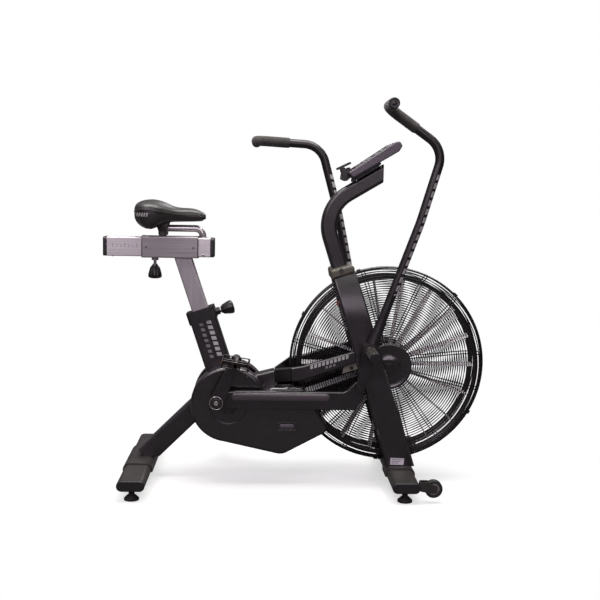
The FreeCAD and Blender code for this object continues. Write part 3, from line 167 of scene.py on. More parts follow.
def powder_coat(name, color, roughness):
    """Powder-coated steel: orange peel, slightly uneven gloss and a faint drift of colour."""
    paint = Paint(name, color, roughness)
    paint.mottled([c * 1.35 for c in color], 9.0)
    paint.uneven_gloss(roughness - 0.06, roughness + 0.08, 30.0)
    return paint.grain(420.0, 0.0004, 0.35).grain(2200.0, 0.00015, 0.25)


def moulded(name, color, roughness, grain=1500.0):
    """Moulded plastic or rubber with a fine stipple."""
    paint = Paint(name, color, roughness)
    paint.mottled([c * 1.25 + 0.002 for c in color], 14.0)
    paint.uneven_gloss(roughness - 0.05, roughness + 0.07, 45.0)
    return paint.grain(grain, 0.0003, 0.4)


def brushed(name, color, roughness, along, turn=(0, 0, 0), metallic=1.0):
    """Brushed metal: fine streaks along one direction."""
    paint = Paint(name, color, roughness, metallic=metallic)
    scale = [6.0 if axis == along else 900.0 for axis in "XYZ"]
    streaks = paint.stretched(scale, turn)
    fine = paint.noise(1.0, detail=2, vector=streaks)
    dark, light = [c * 0.82 for c in color] + [1.0], [min(1.0, c * 1.12) for c in color] + [1.0]
    paint.put("Base Color", paint.mixed(paint.between(fine, 0.3, 0.7, 0, 1), dark, light))
    gloss = paint.between(fine, 0.3, 0.7, roughness - 0.07, roughness + 0.1)
    paint.put("Roughness", gloss)
    paint.put("Anisotropic", 0.5)
    return paint.bumped(fine, 0.0002, 0.25)


def cast_metal(name, color, roughness):
    paint = Paint(name, color, roughness, metallic=1.0)
    paint.mottled([c * 0.6 for c in color], 60.0)
    paint.uneven_gloss(roughness - 0.08, roughness + 0.12, 90.0)
    return paint.grain(900.0, 0.0003, 0.4)


def clear_coated(paint, weight, roughness):
    """A glossier skin over the paint, for the light along rounded edges."""
    paint.put("Coat Weight", weight)
    paint.put("Coat Roughness", roughness)
    return paint


BLACK = powder_coat("frame_paint", (0.0060, 0.0044, 0.0055), 0.34)
MOVING = powder_coat("moving_paint", (0.0058, 0.0045, 0.0054), 0.30)
# Painted highlight: the rib on each link is painted a lighter grey than the link's black, for the light
# along its dome.
RIB_HIGHLIGHT = Paint("link_rib_painted_highlight", (0.062, 0.052, 0.058), 0.24)
# Painted highlight: the foot bars and their brackets get a lighter, warmer black than the frame, for the top
# light they catch.
BAR_PAINTED_HIGHLIGHT = powder_coat("bar_paint", (0.022, 0.0195, 0.0175), 0.36)
OLIVE = powder_coat("crown_paint", (0.060, 0.056, 0.042), 0.42)
COVER = moulded("cover_plastic", (0.0048, 0.0034, 0.0044), 0.25, 1100.0)
PLASTIC = moulded("black_plastic", (0.0065, 0.0062, 0.0065), 0.36)
clear_coated(BLACK, 0.5, 0.24)
clear_coated(MOVING, 0.4, 0.2)
clear_coated(COVER, 0.9, 0.11)
WIRE = Paint("cage_wire", (0.005, 0.0047, 0.005), 0.3).grain(1500.0, 0.0002, 0.3)
WIRE.uneven_gloss(0.24, 0.38, 60.0)
RUBBER = moulded("foot_rubber", (0.010, 0.010, 0.010), 0.65, 800.0)
TYRE = moulded("wheel_rubber", (0.010, 0.010, 0.0105), 0.5, 600.0)
STEEL = cast_metal("bare_steel", (0.46, 0.45, 0.44), 0.34)
DARK_STEEL = cast_metal("blackened_steel", (0.085, 0.08, 0.078), 0.4)
BRUSHED_X = brushed("brushed_slider", (0.70, 0.66, 0.685), 0.42, "X", metallic=0.55)
SLEEVE = brushed("brushed_sleeve", (0.42, 0.395, 0.41), 0.34, "X", metallic=0.6)
BRUSHED_POST = brushed("brushed_post", (0.46, 0.43, 0.45), 0.38, "Z", (0, SEAT_LEAN, 0), metallic=0.6)
CHROME = Paint("chrome", (0.50, 0.48, 0.485), 0.24, metallic=0.85)
CHROME.uneven_gloss(0.15, 0.26, 25.0)
BLADE = Paint("fan_blade_steel", (0.80, 0.775, 0.80), 0.5, metallic=0.05)
BLADE.mottled((0.62, 0.60, 0.62), 30.0).uneven_gloss(0.34, 0.5, 50.0).grain(700.0, 0.0002, 0.3)
PEDAL = cast_metal("pedal_alloy", (0.055, 0.050, 0.048), 0.36)
AMBER = Paint("amber_reflector", (0.85, 0.21, 0.012), 0.18)
AMBER.put("Coat Weight", 0.6)
ORANGE = moulded("orange_stop", (0.86, 0.105, 0.012), 0.4)
MARK = moulded("light_mark", (0.31, 0.31, 0.315), 0.45)
FAINT = moulded("faint_mark", (0.13, 0.126, 0.13), 0.5)
SHELL = moulded("console_shell", (0.068, 0.055, 0.071), 0.34)
PLATE = moulded("blank_plate", (0.50, 0.47, 0.52), 0.4)
TAB = powder_coat("tab_paint", (0.16, 0.15, 0.125), 0.42)


def lattice(paint, pitch, deep):
    """Pressed diamond prisms, as in the back of a reflector lens."""
    for turn in (pi / 4, -pi / 4):
        waves = paint.node("ShaderNodeTexWave", {"Vector": paint.stretched((1, 1, 1), (0, turn, 0)),
                                                 "Scale": 1 / pitch}, wave_type="BANDS")
        paint.bumped(waves.outputs["Fac"], deep, 0.5)
    return paint


lattice(AMBER, 0.02, 0.0006)


def vinyl():
    """Saddle cover: cells of leather grain, creases and a soft sheen."""
    paint = Paint("saddle_vinyl", (0.0165, 0.0150, 0.0150), 0.36, specular=0.55)
    paint.mottled((0.026, 0.024, 0.0225), 22.0)
    cells = paint.node("ShaderNodeTexVoronoi", {"Vector": paint.coordinates, "Scale": 520.0},
                       feature="SMOOTH_F1").outputs["Distance"]
    paint.uneven_gloss(0.30, 0.44, 60.0)
    split = paint.axes()
    slanted = paint.calc("MULTIPLY", split["Z"], 0.35)
    along = paint.calc("SUBTRACT", split["X"], slanted)
    turns = paint.calc("MULTIPLY", along, 1 / 0.0078)
    part = paint.calc("FRACT", turns)
    badge = paint.calc("LESS_THAN", part, 0.62)
    for mask in (paint.where("X", -0.503, -0.462), paint.where("Z", 0.8415, 0.8530)):
        badge = paint.calc("MULTIPLY", badge, mask)
    paint.marked(badge, (0.36, 0.36, 0.36))
    return paint.bumped(cells, 0.0004, 0.35).grain(38.0, 0.0009, 0.25)


def foam():
    """Closed-cell foam: matte, pitted and slightly grey."""
    paint = Paint("grip_foam", (0.030, 0.028, 0.0265), 0.88, specular=0.35)
    paint.mottled((0.044, 0.041, 0.038), 35.0)
    cells = paint.node("ShaderNodeTexVoronoi", {"Vector": paint.coordinates, "Scale": 750.0})
    paint.put("Sheen Weight", 0.15)
    return paint.bumped(cells.outputs["Distance"], 0.0006, 0.5).grain(160.0, 0.0008, 0.4)


VINYL = vinyl()
FOAM = foam()
SCREEN = Paint("screen", (0.012, 0.016, 0.014), 0.08)
SCREEN.put("Coat Weight", 1.0)
DIGITS = Paint("screen_digits", (0.30, 0.34, 0.30), 0.3)


def peg_finish():
    """Fluted steel between a dark flange and a black cap on the outer end of each peg, with painted shade
    between the flutes.
    """
    paint = Paint("peg_steel", (0.42, 0.41, 0.37), 0.34, metallic=1.0)
    inside, flanges = paint.where("Y", -0.2868, 0.2868), paint.where("Y", -0.1638, 0.1638)
    bare = paint.calc("SUBTRACT", inside, flanges)
    paint.put("Base Color", paint.mixed(bare, (0.006, 0.005, 0.006, 1), paint.color))
    paint.put("Metallic", bare)
    split = paint.axes()
    x = paint.calc("SUBTRACT", split["X"], PIVOT.x)
    z = paint.calc("SUBTRACT", split["Z"], PIVOT.z)
    turn = paint.calc("ARCTAN2", z, x)
    waves = paint.calc("MULTIPLY", turn, 16.0)
    flutes = paint.between(paint.calc("SINE", waves), -0.5, 0.5, 0, 1)
    # Painted shade: the hollows between the flutes get a darker base colour.
    shaded_grooves = paint.calc("SUBTRACT", 1.0, flutes)
    dark = paint.calc("MULTIPLY", shaded_grooves, bare)
    paint.marked(dark, (0.045, 0.042, 0.035))
    paint.uneven_gloss(0.26, 0.46, 120.0)
    raised = paint.calc("MULTIPLY", flutes, bare)
    return paint.bumped(raised, 0.0015, 0.6)


PEG = peg_finish()


def arm_finish():
    """Arm paint with a broken stripe down the front of the long straight part."""
    paint = powder_coat("arm_paint", (0.0070, 0.0055, 0.0066), 0.32)
    split = paint.axes()
    normal = paint.tree.nodes["Texture Coordinate"].outputs["Normal"]
    facing = paint.node("ShaderNodeVectorMath", {0: normal, 1: (0.97, 0, -0.24)}, operation="DOT_PRODUCT")
    front = paint.calc("GREATER_THAN", facing.outputs["Value"], 0.22)
    turns = paint.calc("MULTIPLY", split["Z"], 1 / 0.0262)
    part = paint.calc("FRACT", turns)
    bars = paint.calc("LESS_THAN", part, 0.66)
    stripe = paint.calc("MULTIPLY", bars, paint.where("Z", 0.615, 0.985))
    paint.marked(paint.calc("MULTIPLY", stripe, front), (0.34, 0.335, 0.335))
    return paint


ARM = arm_finish()

FINISHES = {
    BLACK: ("seat_tube", "rear_leg", "drive_beam", "frame_junction", "side_beam_right", "side_beam_left",
            "fork_leg_left", "fork_leg_right", "mast", "fan_rims"),
    BAR_PAINTED_HIGHLIGHT: ("rear_foot_bar", "front_foot_bar", "foot_brackets"),
    OLIVE: ("fork_crown",),
    ARM: ("arm_right", "arm_left"),
    MOVING: ("link_right", "link_left", "crank_arm_right", "crank_arm_left",
             "fan_axle", "fan_hub", "crank_spindle"),
    COVER: ("chain_cover_right", "chain_cover_left"),
    SHELL: ("console_housing",),
    PLASTIC: ("foot_end_caps", "post_collar", "console_bracket", "slider_caps",
              "post_knob", "slider_knob", "start_button", "stop_button"),
    STEEL: ("bearings", "chainring", "jackshaft"),
    DARK_STEEL: ("chains", "frame_bolts", "saddle_clamp"),
    BRUSHED_X: ("seat_slider",),
    SLEEVE: ("seat_sleeve",),
    BRUSHED_POST: ("seat_post",),
    CHROME: ("saddle_stem",),
    PEG: ("foot_pegs",),
    PEDAL: ("pedal_right", "pedal_left"),
    FOAM: ("grip_right", "grip_left"),
    RUBBER: ("rear_foot_right", "rear_foot_left", "front_foot_right", "front_foot_left"),
    TYRE: ("transport_wheel_right", "transport_wheel_left"),
    BLADE: ("fan_blades",),
    WIRE: ("cage_right", "cage_left"),
    VINYL: ("saddle",),
    SCREEN: ("console_screen",),
}
for finish, names in FINISHES.items():
    for name in names:
        nodes[name].data.materials.clear()
        nodes[name].data.materials.append(finish.material)


# ---------------------------------------------------------------- mesh helpers
class Mesh:
    """Collects points and faces of one piece, each face with the finish it shows."""

    def __init__(self, name):
        self.name = name
        self.points, self.faces, self.finishes, self.face_finish = [], [], [], []

    def add(self, points, faces, finish):
        start = len(self.points)
        self.points.extend(Vector(p) for p in points)
        self.faces.extend([start + index for index in face] for face in faces)
        if finish not in self.finishes:
            self.finishes.append(finish)
        self.face_finish.extend([self.finishes.index(finish)] * len(faces))
        return self

    def moved(self, matrix, name):
        """A copy put somewhere else; a mirror image keeps its faces the right way out."""
        copy = Mesh(name)
        copy.points = [matrix @ p for p in self.points]
        flip = matrix.determinant() < 0
        copy.faces = [face[::-1] if flip else list(face) for face in self.faces]
        copy.finishes, copy.face_finish = list(self.finishes), list(self.face_finish)
        return copy

    def build(self, body, slot, replaces=(), smooth_angle=38.0, bevel=0.0, subdivide=0):
        data = bpy.data.meshes.new(self.name)
        data.from_pydata([tuple(p) for p in self.points], [], self.faces)
        for finish in self.finishes:
            data.materials.append(finish.material)
        data.polygons.foreach_set("material_index", self.face_finish)
        piece = bpy.data.objects.new(self.name, data)
        bpy.context.scene.collection.objects.link(piece)
        work = bmesh.new()
        work.from_mesh(data)
        bmesh.ops.remove_doubles(work, verts=work.verts, dist=1e-7)
        bmesh.ops.recalc_face_normals(work, faces=work.faces)
        work.to_mesh(data)
        work.free()
        if bevel > 0:
            apply_modifier(piece, "BEVEL", width=bevel, segments=2, limit_method="ANGLE",
                           angle_limit=radians(35))
        if subdivide:
            apply_modifier(piece, "SUBSURF", levels=subdivide, render_levels=subdivide)
        shade(piece.data, smooth_angle)
        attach(piece, body)
        if replaces:
            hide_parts(*replaces)
        return piece


def shade(data, angle):
    data.shade_smooth()
    data.set_sharp_from_angle(angle=radians(angle))


def apply_modifier(piece, kind, **settings):
    modifier = piece.modifiers.new(kind.lower(), kind)
    for key, value in settings.items():
        setattr(modifier, key, value)
    depsgraph = bpy.context.evaluated_depsgraph_get()
    done = bpy.data.meshes.new_from_object(piece.evaluated_get(depsgraph))
    piece.modifiers.clear()
    old = piece.data
    piece.data = done
    bpy.data.meshes.remove(old)
    done.name = piece.name


def rounded_path(points, radii, step=radians(9)):
    """Straight runs joined by arcs, as a list of points; radii holds one radius for each inner corner."""
    path = [Vector(points[0])]
    for corner, radius in zip(range(1, len(points) - 1), radii):
        here = Vector(points[corner])
        back = (Vector(points[corner - 1]) - here).normalized()
        ahead = (Vector(points[corner + 1]) - here).normalized()
        half = back.angle(ahead) / 2
        middle = here + (back + ahead).normalized() * (radius / sin(half))
        first = here + back * (radius / tan(half)) - middle
        last = here + ahead * (radius / tan(half)) - middle
        turn = first.angle(last)
        count = max(2, ceil(turn / step))
        axis = first.cross(last).normalized()
        for index in range(count + 1):
            path.append(middle + Matrix.Rotation(turn * index / count, 3, axis) @ first)
    path.append(Vector(points[-1]))
    return path


def frames_along(path, closed=False):
    """Directions across a path that don't twist: a (point, side, up) triple for each point."""
    count = len(path)
    runs = []
    for index in range(count):
        before = path[index - 1] if closed or index > 0 else path[index]
        after = path[(index + 1) % count] if closed or index < count - 1 else path[index]
        runs.append((after - before).normalized())
    side = Y if abs(runs[0].dot(Y)) < 0.9 else Vector((1, 0, 0))
    frames = []
    for point, run in zip(path, runs):
        side = (side - run * side.dot(run)).normalized()
        frames.append((point, side, run.cross(side)))
    return frames


def skin(rings, sides, closed=False):
    """Faces between rings of points that follow one another, with a face over each open end."""
    faces = []
    for ring in range(rings if closed else rings - 1):
        low, high = ring * sides, (ring + 1) % rings * sides
        for index in range(sides):
            after = (index + 1) % sides
            faces.append((low + index, low + after, high + after, high + index))
    if not closed:
        faces.append(tuple(range(sides))[::-1])
        faces.append(tuple((rings - 1) * sides + index for index in range(sides)))
    return faces


def sweep(mesh, path, radius, finish, sides=12, closed=False):
    """A bar along a path. radius may be a list, with one radius for each point."""
    radii = radius if hasattr(radius, "__len__") else [radius] * len(path)
    points = []
    for (point, side, up), r in zip(frames_along(path, closed), radii):
        for index in range(sides):
            angle = 2 * pi * index / sides
            points.append(point + side * (r * cos(angle)) + up * (r * sin(angle)))
    mesh.add(points, skin(len(path), sides, closed), finish)


def lathe(mesh, base, axis, profile, finish, sides=32, shape=None):
    """A turned solid: profile holds (distance along the axis, radius) pairs from base outwards.

    shape(angle, along) may scale the radius round the axis.
    """
    axis = Vector(axis).normalized()
    side = Y if abs(axis.dot(Y)) < 0.9 else Vector((1, 0, 0))
    side = (side - axis * side.dot(axis)).normalized()
    up = axis.cross(side)
    points = []
    for along, radius in profile:
        middle = Vector(base) + axis * along
        for index in range(sides):
            angle = 2 * pi * index / sides
            r = radius * (shape(angle, along) if shape else 1.0)
            points.append(middle + side * (r * cos(angle)) + up * (r * sin(angle)))
    mesh.add(points, skin(len(profile), sides), finish)


def plate(mesh, outline, y0, y1, finish):
    """A flat piece across the machine from an outline of (X, Z) points."""
    points = [(x, y, z) for y in (y0, y1) for x, z in outline]
    mesh.add(points, skin(2, len(outline)), finish)


def block(mesh, centre, size, finish, turn=None, inset=0.0):
    """A box with its long edges cut, turned by a 3x3 matrix about its centre."""
    hx, hy, hz = (s / 2 for s in size)
    c = min(inset, hx * 0.9, hy * 0.9, hz * 0.9)
    if c > 0:
        outline = [(-hx, -hy + c), (-hx + c, -hy), (hx - c, -hy), (hx, -hy + c),
                   (hx, hy - c), (hx - c, hy), (-hx + c, hy), (-hx, hy - c)]
        levels = [(-hz, False), (-hz + c, True), (hz - c, True), (hz, False)]
    else:
        outline = [(-hx, -hy), (hx, -hy), (hx, hy), (-hx, hy)]
        levels = [(-hz, True), (hz, True)]
    points = []
    for z, full in levels:
        kx, ky = (1.0, 1.0) if full else ((hx - c) / hx, (hy - c) / hy)
        for x, y in outline:
            point = Vector((x * kx, y * ky, z))
            points.append(Vector(centre) + (turn @ point if turn else point))
    mesh.add(points, skin(len(levels), len(outline)), finish)


def bolt_head(mesh, place, axis, size, finish, kind="hex"):
    """A bolt head or nut standing on a face: hex, socket or round."""
    r, h = size
    if kind == "hex":
        lathe(mesh, place, axis, ((0, r * 1.25), (h * 0.25, r * 1.25)), finish, 20)
        lathe(mesh, place, axis, ((h * 0.25, r), (h * 0.85, r), (h, r * 0.86)), finish, 6)
    elif kind == "socket":
        lathe(mesh, place, axis, ((0, r), (h * 0.75, r), (h, r * 0.84), (h, r * 0.5), (h * 0.45, r * 0.46)),
              finish, 18)
    else:
        lathe(mesh, place, axis, ((0, r), (h * 0.4, r * 0.97), (h * 0.8, r * 0.7), (h, r * 0.3)), finish, 18)


MIRROR = Matrix.Scale(-1, 4, Y)


def tipped(angle, centre):
    """A turn about an axis across the machine: positive tips the top forwards."""
    return Matrix.Translation(centre) @ Matrix.Rotation(angle, 4, "Y") @ Matrix.Translation(-centre)


SECOND_ARM = tipped(-ARM_SPREAD, PIVOT) @ MIRROR
OPPOSITE_CRANK = MIRROR @ tipped(pi, CRANK)


# ---------------------------------------------------------------- fan cage
WIRE_R = 0.00145
RING_PITCH = 0.0074
RING_IN, RING_OUT = 0.0795, 0.3065


def dome(radius):
    """Distance of the cage's surface from the middle plane at a distance from the fan's axis."""
    if radius <= 0.246:
        return 0.0678
    across = (radius - 0.24218) / 0.0725
    return -0.00462 + 0.0725 * sqrt(max(0.0, 1 - across * across))


def cage(name, sign, spoke_start):
    """Rings and paired spokes of one half of the wire cage, with its outer band."""
    mesh = Mesh(name)
    radius = RING_IN
    while radius < RING_OUT:
        path = [polar(FAN, radius, 360 * i / 96, sign * dome(radius)) for i in range(96)]
        sweep(mesh, path, WIRE_R if radius < 0.272 else 0.0018, WIRE, 6, closed=True)
        radius += RING_PITCH
    for spoke in range(6):
        angle = spoke_start + 60 * spoke
        sideways = Matrix.Rotation(-radians(angle), 3, "Y") @ UP
        for offset in (-0.0048, 0.0048):
            points = []
            for index in range(17):
                r = RING_IN - 0.004 + (0.3115 - RING_IN) * index / 16
                at = polar(FAN, r, angle, sign * (dome(r) - 2 * WIRE_R))
                points.append(at + sideways * offset)
            sweep(mesh, points, WIRE_R * 1.25, WIRE, 6)
    profile = [(0.0003, 0.3080), (0.0003, 0.3138), (0.0105, 0.3138), (0.0135, 0.3126), (0.0150, 0.3100),
               (0.0142, 0.3080), (0.0100, 0.3070)]
    points = [polar(FAN, r, 3 * index, sign * y) for index in range(120) for y, r in profile]
    mesh.add(points, skin(120, len(profile), closed=True), WIRE)
    return mesh


right = cage("cage_wires_right", -1, 46)
disc = ((-0.001, 0.074), (0.0022, 0.0738), (0.0036, 0.0722), (0.0040, 0.066),
        (0.0032, 0.0645), (0.0032, 0.030), (0.0040, 0.0285), (0.0040, 0.012))
lathe(right, FAN - Y * 0.0690, -Y, disc, COVER, 72)
right.build("frame", "cage_wire", ("cage_right",))
left = cage("cage_wires_left", 1, 6)
lathe(left, FAN + Y * 0.0655, Y,
      ((0, 0.020), (0, 0.0775), (0.0022, 0.0775), (0.0028, 0.076), (0.0028, 0.021)), TAB, 72)
left.build("frame", "cage_wire", ("cage_left",))


# ---------------------------------------------------------------- grips
def grip():
    """Foam along the slanted top of the arm and round the bend to the side."""
    corner = PIVOT + Vector((0.034, -ARM_Y, 0.744))
    before = PIVOT + Vector((0.209, -ARM_Y, 0.622))
    start = corner + (before - corner).normalized() * 0.110
    end = Vector((corner.x, -SIDE + 0.0042, corner.z))
    path = rounded_path([start, corner, end], [0.042], radians(5))
    dense = []
    for a, b in zip(path, path[1:]):
        parts = max(1, int((b - a).length / 0.004))
        dense += [a.lerp(b, i / parts) for i in range(parts)]
    dense.append(path[-1])
    count = len(dense)
    radii = []
    for index in range(count):
        ends = min(index, count - 1 - index)
        radii.append(0.0169 - (0.0012 if ends == 0 else 0.0003 if ends == 1 else 0.0))
    mesh = Mesh("foam_grip_right")
    sweep(mesh, dense, radii, FOAM, 36)
    return mesh


def grip_plug():
    mesh = Mesh("grip_plug_right")
    corner = PIVOT + Vector((0.034, 0, 0.744))
    base = Vector((corner.x, -SIDE + 0.0044, corner.z))
    profile = ((0, 0.0165), (0.0026, 0.0165), (0.0040, 0.0152), (0.0043, 0.0130),
               (0.0036, 0.0118), (0.0036, 0.0062), (0.0043, 0.0050), (0.0043, 0.001))
    lathe(mesh, base, -Y, profile, PLASTIC, 36)
    return mesh


foam_right, plug_right = grip(), grip_plug()
for mesh, body, node in ((foam_right, "arm_right", "grip_right"),
                         (foam_right.moved(SECOND_ARM, "foam_grip_left"), "arm_left", "grip_left")):
    mesh.build(body, "grip_foam", (node,))
plug_right.build("arm_right", "black_plastic")
plug_right.moved(SECOND_ARM, "grip_plug_left").build("arm_left", "black_plastic")


# ---------------------------------------------------------------- knobs
def lobes(angle, along):
    """Eight soft lobes, except on the neck of a knob."""
    return 1 + (0.045 * cos(8 * angle) if along > 0.004 else 0.0)


def knob(name, base, axis, plunger, node):
    """A knob that widens from its neck, on a steel plunger that goes back along the axis."""
    mesh = Mesh(name)
    long, radius = 0.041, 0.022
    profile = ((0, radius * 0.50), (long * 0.07, radius * 0.55), (long * 0.13, radius * 0.66),
               (long * 0.35, radius * 0.78), (long * 0.62, radius * 0.91), (long * 0.78, radius * 0.955),
               (long * 0.88, radius * 0.93), (long * 0.955, radius * 0.80), (long, radius * 0.52),
               (long, radius * 0.05))
    lathe(mesh, base, axis, profile, PLASTIC, 64, lobes)
    for stem in (((0, 0.0048), (plunger, 0.0048), (plunger + 0.0008, 0.0036)),
                 ((0, 0.0085), (0.004, 0.0085), (0.005, 0.0075))):
        lathe(mesh, base, -axis, stem, STEEL, 20)
    mesh.build(node, "black_plastic", (node,))


knob("height_knob", up_seat(0.284, 0.0637), SEAT_FORWARD, 0.036, "post_knob")
knob("slider_pull_knob", Vector((-0.450, 0, 0.6848)), -UP, 0.028, "slider_knob")


# ---------------------------------------------------------------- saddle
SADDLE = (
    # X, half width, top, seam, bottom, half width of the bottom
    (-0.5120, 0.0300, 0.8680, 0.8560, 0.8440, 0.0200),
    (-0.5085, 0.0560, 0.8770, 0.8580, 0.8330, 0.0400),
    (-0.5000, 0.0780, 0.8850, 0.8600, 0.8230, 0.0560),
    (-0.4880, 0.0910, 0.8905, 0.8620, 0.8130, 0.0640),
    (-0.4720, 0.0975, 0.8940, 0.8630, 0.8060, 0.0660),
    (-0.4550, 0.0980, 0.8945, 0.8625, 0.8045, 0.0640),
    (-0.4370, 0.0930, 0.8915, 0.8600, 0.8125, 0.0580),
    (-0.4200, 0.0820, 0.8860, 0.8565, 0.8220, 0.0480),
    (-0.4030, 0.0680, 0.8790, 0.8530, 0.8260, 0.0400),
    (-0.3850, 0.0540, 0.8725, 0.8505, 0.8275, 0.0330),
    (-0.3650, 0.0430, 0.8700, 0.8495, 0.8280, 0.0280),
    (-0.3450, 0.0365, 0.8695, 0.8490, 0.8285, 0.0250),
    (-0.3250, 0.0325, 0.8675, 0.8475, 0.8290, 0.0225),
    (-0.3080, 0.0290, 0.8625, 0.8440, 0.8300, 0.0190),
    (-0.2965, 0.0225, 0.8560, 0.8410, 0.8320, 0.0130),
    (-0.2900, 0.0130, 0.8490, 0.8395, 0.8345, 0.0070),
)


def spline(values, t):
    """A smooth curve through evenly numbered values."""
    i = min(max(int(t), 0), len(values) - 2)
    f = t - i
    p0, p1, p2, p3 = (values[min(max(i + k, 0), len(values) - 1)] for k in (-1, 0, 1, 2))
    return 0.5 * (2 * p1 + (p2 - p0) * f + (2 * p0 - 5 * p1 + 4 * p2 - p3) * f ** 2
                  + (3 * p1 - p0 - 3 * p2 + p3) * f ** 3)


def saddle_ring(t):
    """One section of the saddle, from the crown round by the left seam, the bottom and the right seam."""
    x, half, top, seam, low, low_half = (spline([row[k] for row in SADDLE], t) for k in range(6))
    right = []
    for index in range(13):
        angle = pi / 2 * index / 12
        across = sin(angle)
        rise = cos(angle) ** 0.75
        channel = 0.0035 * exp(-(across * half / 0.010) ** 2) * min(1.0, half / 0.06)
        right.append((half * across, seam + (top - seam) * rise - channel))
    tuck = 0.0016
    right.append((half - tuck, seam - tuck))
    for index in range(1, 9):
        angle = pi / 2 * index / 8
        across = low_half + (half - low_half) * cos(angle) ** 0.8
        right.append((across, seam - (seam - low) * sin(angle)))
    for across in (0.6, 0.25):
        right.append((low_half * across, low + 0.003))
    left = [(-y, z) for y, z in reversed(right[1:])]
    return [Vector((x, y, z)) for y, z in right + left]


def saddle():
    mesh = Mesh("saddle_pad")
    steps = (len(SADDLE) - 1) * 5
    rings = [saddle_ring(step / 5) for step in range(steps + 1)]
    mesh.add([p for ring in rings for p in ring], skin(len(rings), len(rings[0])), VINYL)
    return mesh, rings


mesh, rings = saddle()
pad = mesh.build("saddle", "saddle_vinyl", ("saddle",), smooth_angle=60, subdivide=1)

trim = Mesh("saddle_trim")
seam_left = [ring[12] + Vector((0, 0.0004, -0.0006)) for ring in rings[1:-1]]
seam_right = [ring[-12] + Vector((0, -0.0004, -0.0006)) for ring in rings[1:-1]]
sweep(trim, seam_left + seam_right[::-1], 0.0013, VINYL, 8, closed=True)
for seam in (seam_left, seam_right):
    for a, b in zip(seam[1::2], seam[2::2]):
        start, end = a.lerp(b, 0.15), a.lerp(b, 0.85)
        lift = Vector((0, 0, 0.0036))
        sweep(trim, [start + lift, (start + end) / 2 + lift * 1.12, end + lift], 0.00035, MARK, 5)
trim.build("saddle", "saddle_vinyl", smooth_angle=60)

base = Mesh("saddle_base")
outline = []
for t in (1.4, 2.2, 3, 4, 5, 6, 7, 8, 9, 10, 11, 12, 13, 13.8):
    x, low, half = (spline([row[k] for row in SADDLE], t) for k in (0, 4, 5))
    outline.append((x, half * 0.96, low))
count = len(outline)
points = []
for lift in (0.0005, -0.0025):
    for x, half, low in outline:
        points += [(x, -half, low + lift), (x, 0, low + lift), (x, half, low + lift)]
faces = []
for i in range(count - 1):
    for j in (0, 1):
        a = i * 3 + j
        faces.append((a, a + 1, a + 4, a + 3))
        c = a + count * 3
        faces.append((c, c + 3, c + 4, c + 1))
rim = [i * 3 for i in range(count)] + [count * 3 - 2] + [i * 3 + 2 for i in reversed(range(count))] + [1]
for a, b in zip(rim, rim[1:] + rim[:1]):
    faces.append((a, b, b + count * 3, a + count * 3))
base.add(points, faces, PLASTIC)
cheek = [(-0.434, 0.7835), (-0.430, 0.7817), (-0.420, 0.7817),
         (-0.416, 0.7835), (-0.400, 0.836), (-0.452, 0.836)]
for y0, y1 in ((-0.0226, -0.0196), (0.0196, 0.0226)):
    plate(base, cheek, y0, y1, DARK_STEEL)
base.build("saddle", "saddle_vinyl", bevel=0.0006)


# ---------------------------------------------------------------- pedals
def pedal():
    """Right-hand cage pedal: serrated plates, a turned barrel, cross plates and amber reflectors."""
    centre = polar(CRANK, 0.158, 81.3)
    mesh = Mesh("pedal_cage_right")
    outer, inner = -0.284, -0.176
    middle = (outer + inner) / 2

    def bar(dx, y, dz, size, finish=PEDAL, inset=0.0008):
        block(mesh, (centre.x + dx, y, centre.z + dz), size, finish, inset=inset)

    for sign in (-1, 1):
        x = centre.x + sign * 0.0405
        teeth = []
        count = 12
        for index in range(count + 1):
            y = outer + (inner - outer) * index / count
            teeth.append((y, 0.0118 if index % 2 else 0.0086))
        low = [(y, -z) for y, z in reversed(teeth)]
        points = []
        for dx in (-0.0012, 0.0012):
            points += [(x + dx, y, centre.z + z) for y, z in teeth + low]
        n = len(teeth)
        faces = []
        for side in (0, 2 * n):
            for index in range(n - 1):
                quad = (side + index, side + index + 1, side + 2 * n - 2 - index, side + 2 * n - 1 - index)
                faces.append(quad if side else quad[::-1])
        for index in range(2 * n):
            after = (index + 1) % (2 * n)
            faces.append((index, after, after + 2 * n, index + 2 * n))
        mesh.add(points, faces, PEDAL)
        bar(sign * 0.0419, middle, 0, (0.0012, 0.046, 0.0105), AMBER, 0.0004)
        for rail in (-1, 1):
            bar(sign * 0.0405, middle, rail * 0.0098, (0.0034, 0.106, 0.0034), inset=0.0010)
    for y in (outer + 0.0015, inner - 0.0015):
        for rail in (-1, 1):
            bar(0, y, rail * 0.0100, (0.0800, 0.0028, 0.0034))
            bar(rail * 0.0385, y, 0, (0.0040, 0.0028, 0.0200))
            bar(rail * 0.0130, y, 0, (0.0050, 0.0026, 0.0190))
    for y in (outer + 0.030, inner - 0.030):
        bar(0, y, 0, (0.0790, 0.0030, 0.0085))
    barrel = ((0, 0.0075), (0, 0.0098), (0.005, 0.0118), (0.020, 0.0118), (0.026, 0.0096), (0.054, 0.0088),
              (0.082, 0.0096), (0.088, 0.0118), (0.103, 0.0118), (0.108, 0.0098), (0.108, 0.0075))
    lathe(mesh, centre + Y * outer, Y, barrel, PEDAL, 28)
    lathe(mesh, centre + Y * outer, Y, ((0, 0.0064), (0.003, 0.0064)), STEEL, 6)
    lathe(mesh, centre + Y * (inner - 0.001), Y, ((0, 0.0080), (0.006, 0.0080)), STEEL, 20)
    return mesh.moved(tipped(radians(9.5), centre), "pedal_cage_right")


pedal_mesh = pedal()
pedal_mesh.build("pedal_right", "pedal_alloy", ("pedal_right",))
pedal_mesh.moved(OPPOSITE_CRANK, "pedal_cage_left").build("pedal_left", "pedal_alloy", ("pedal_left",))


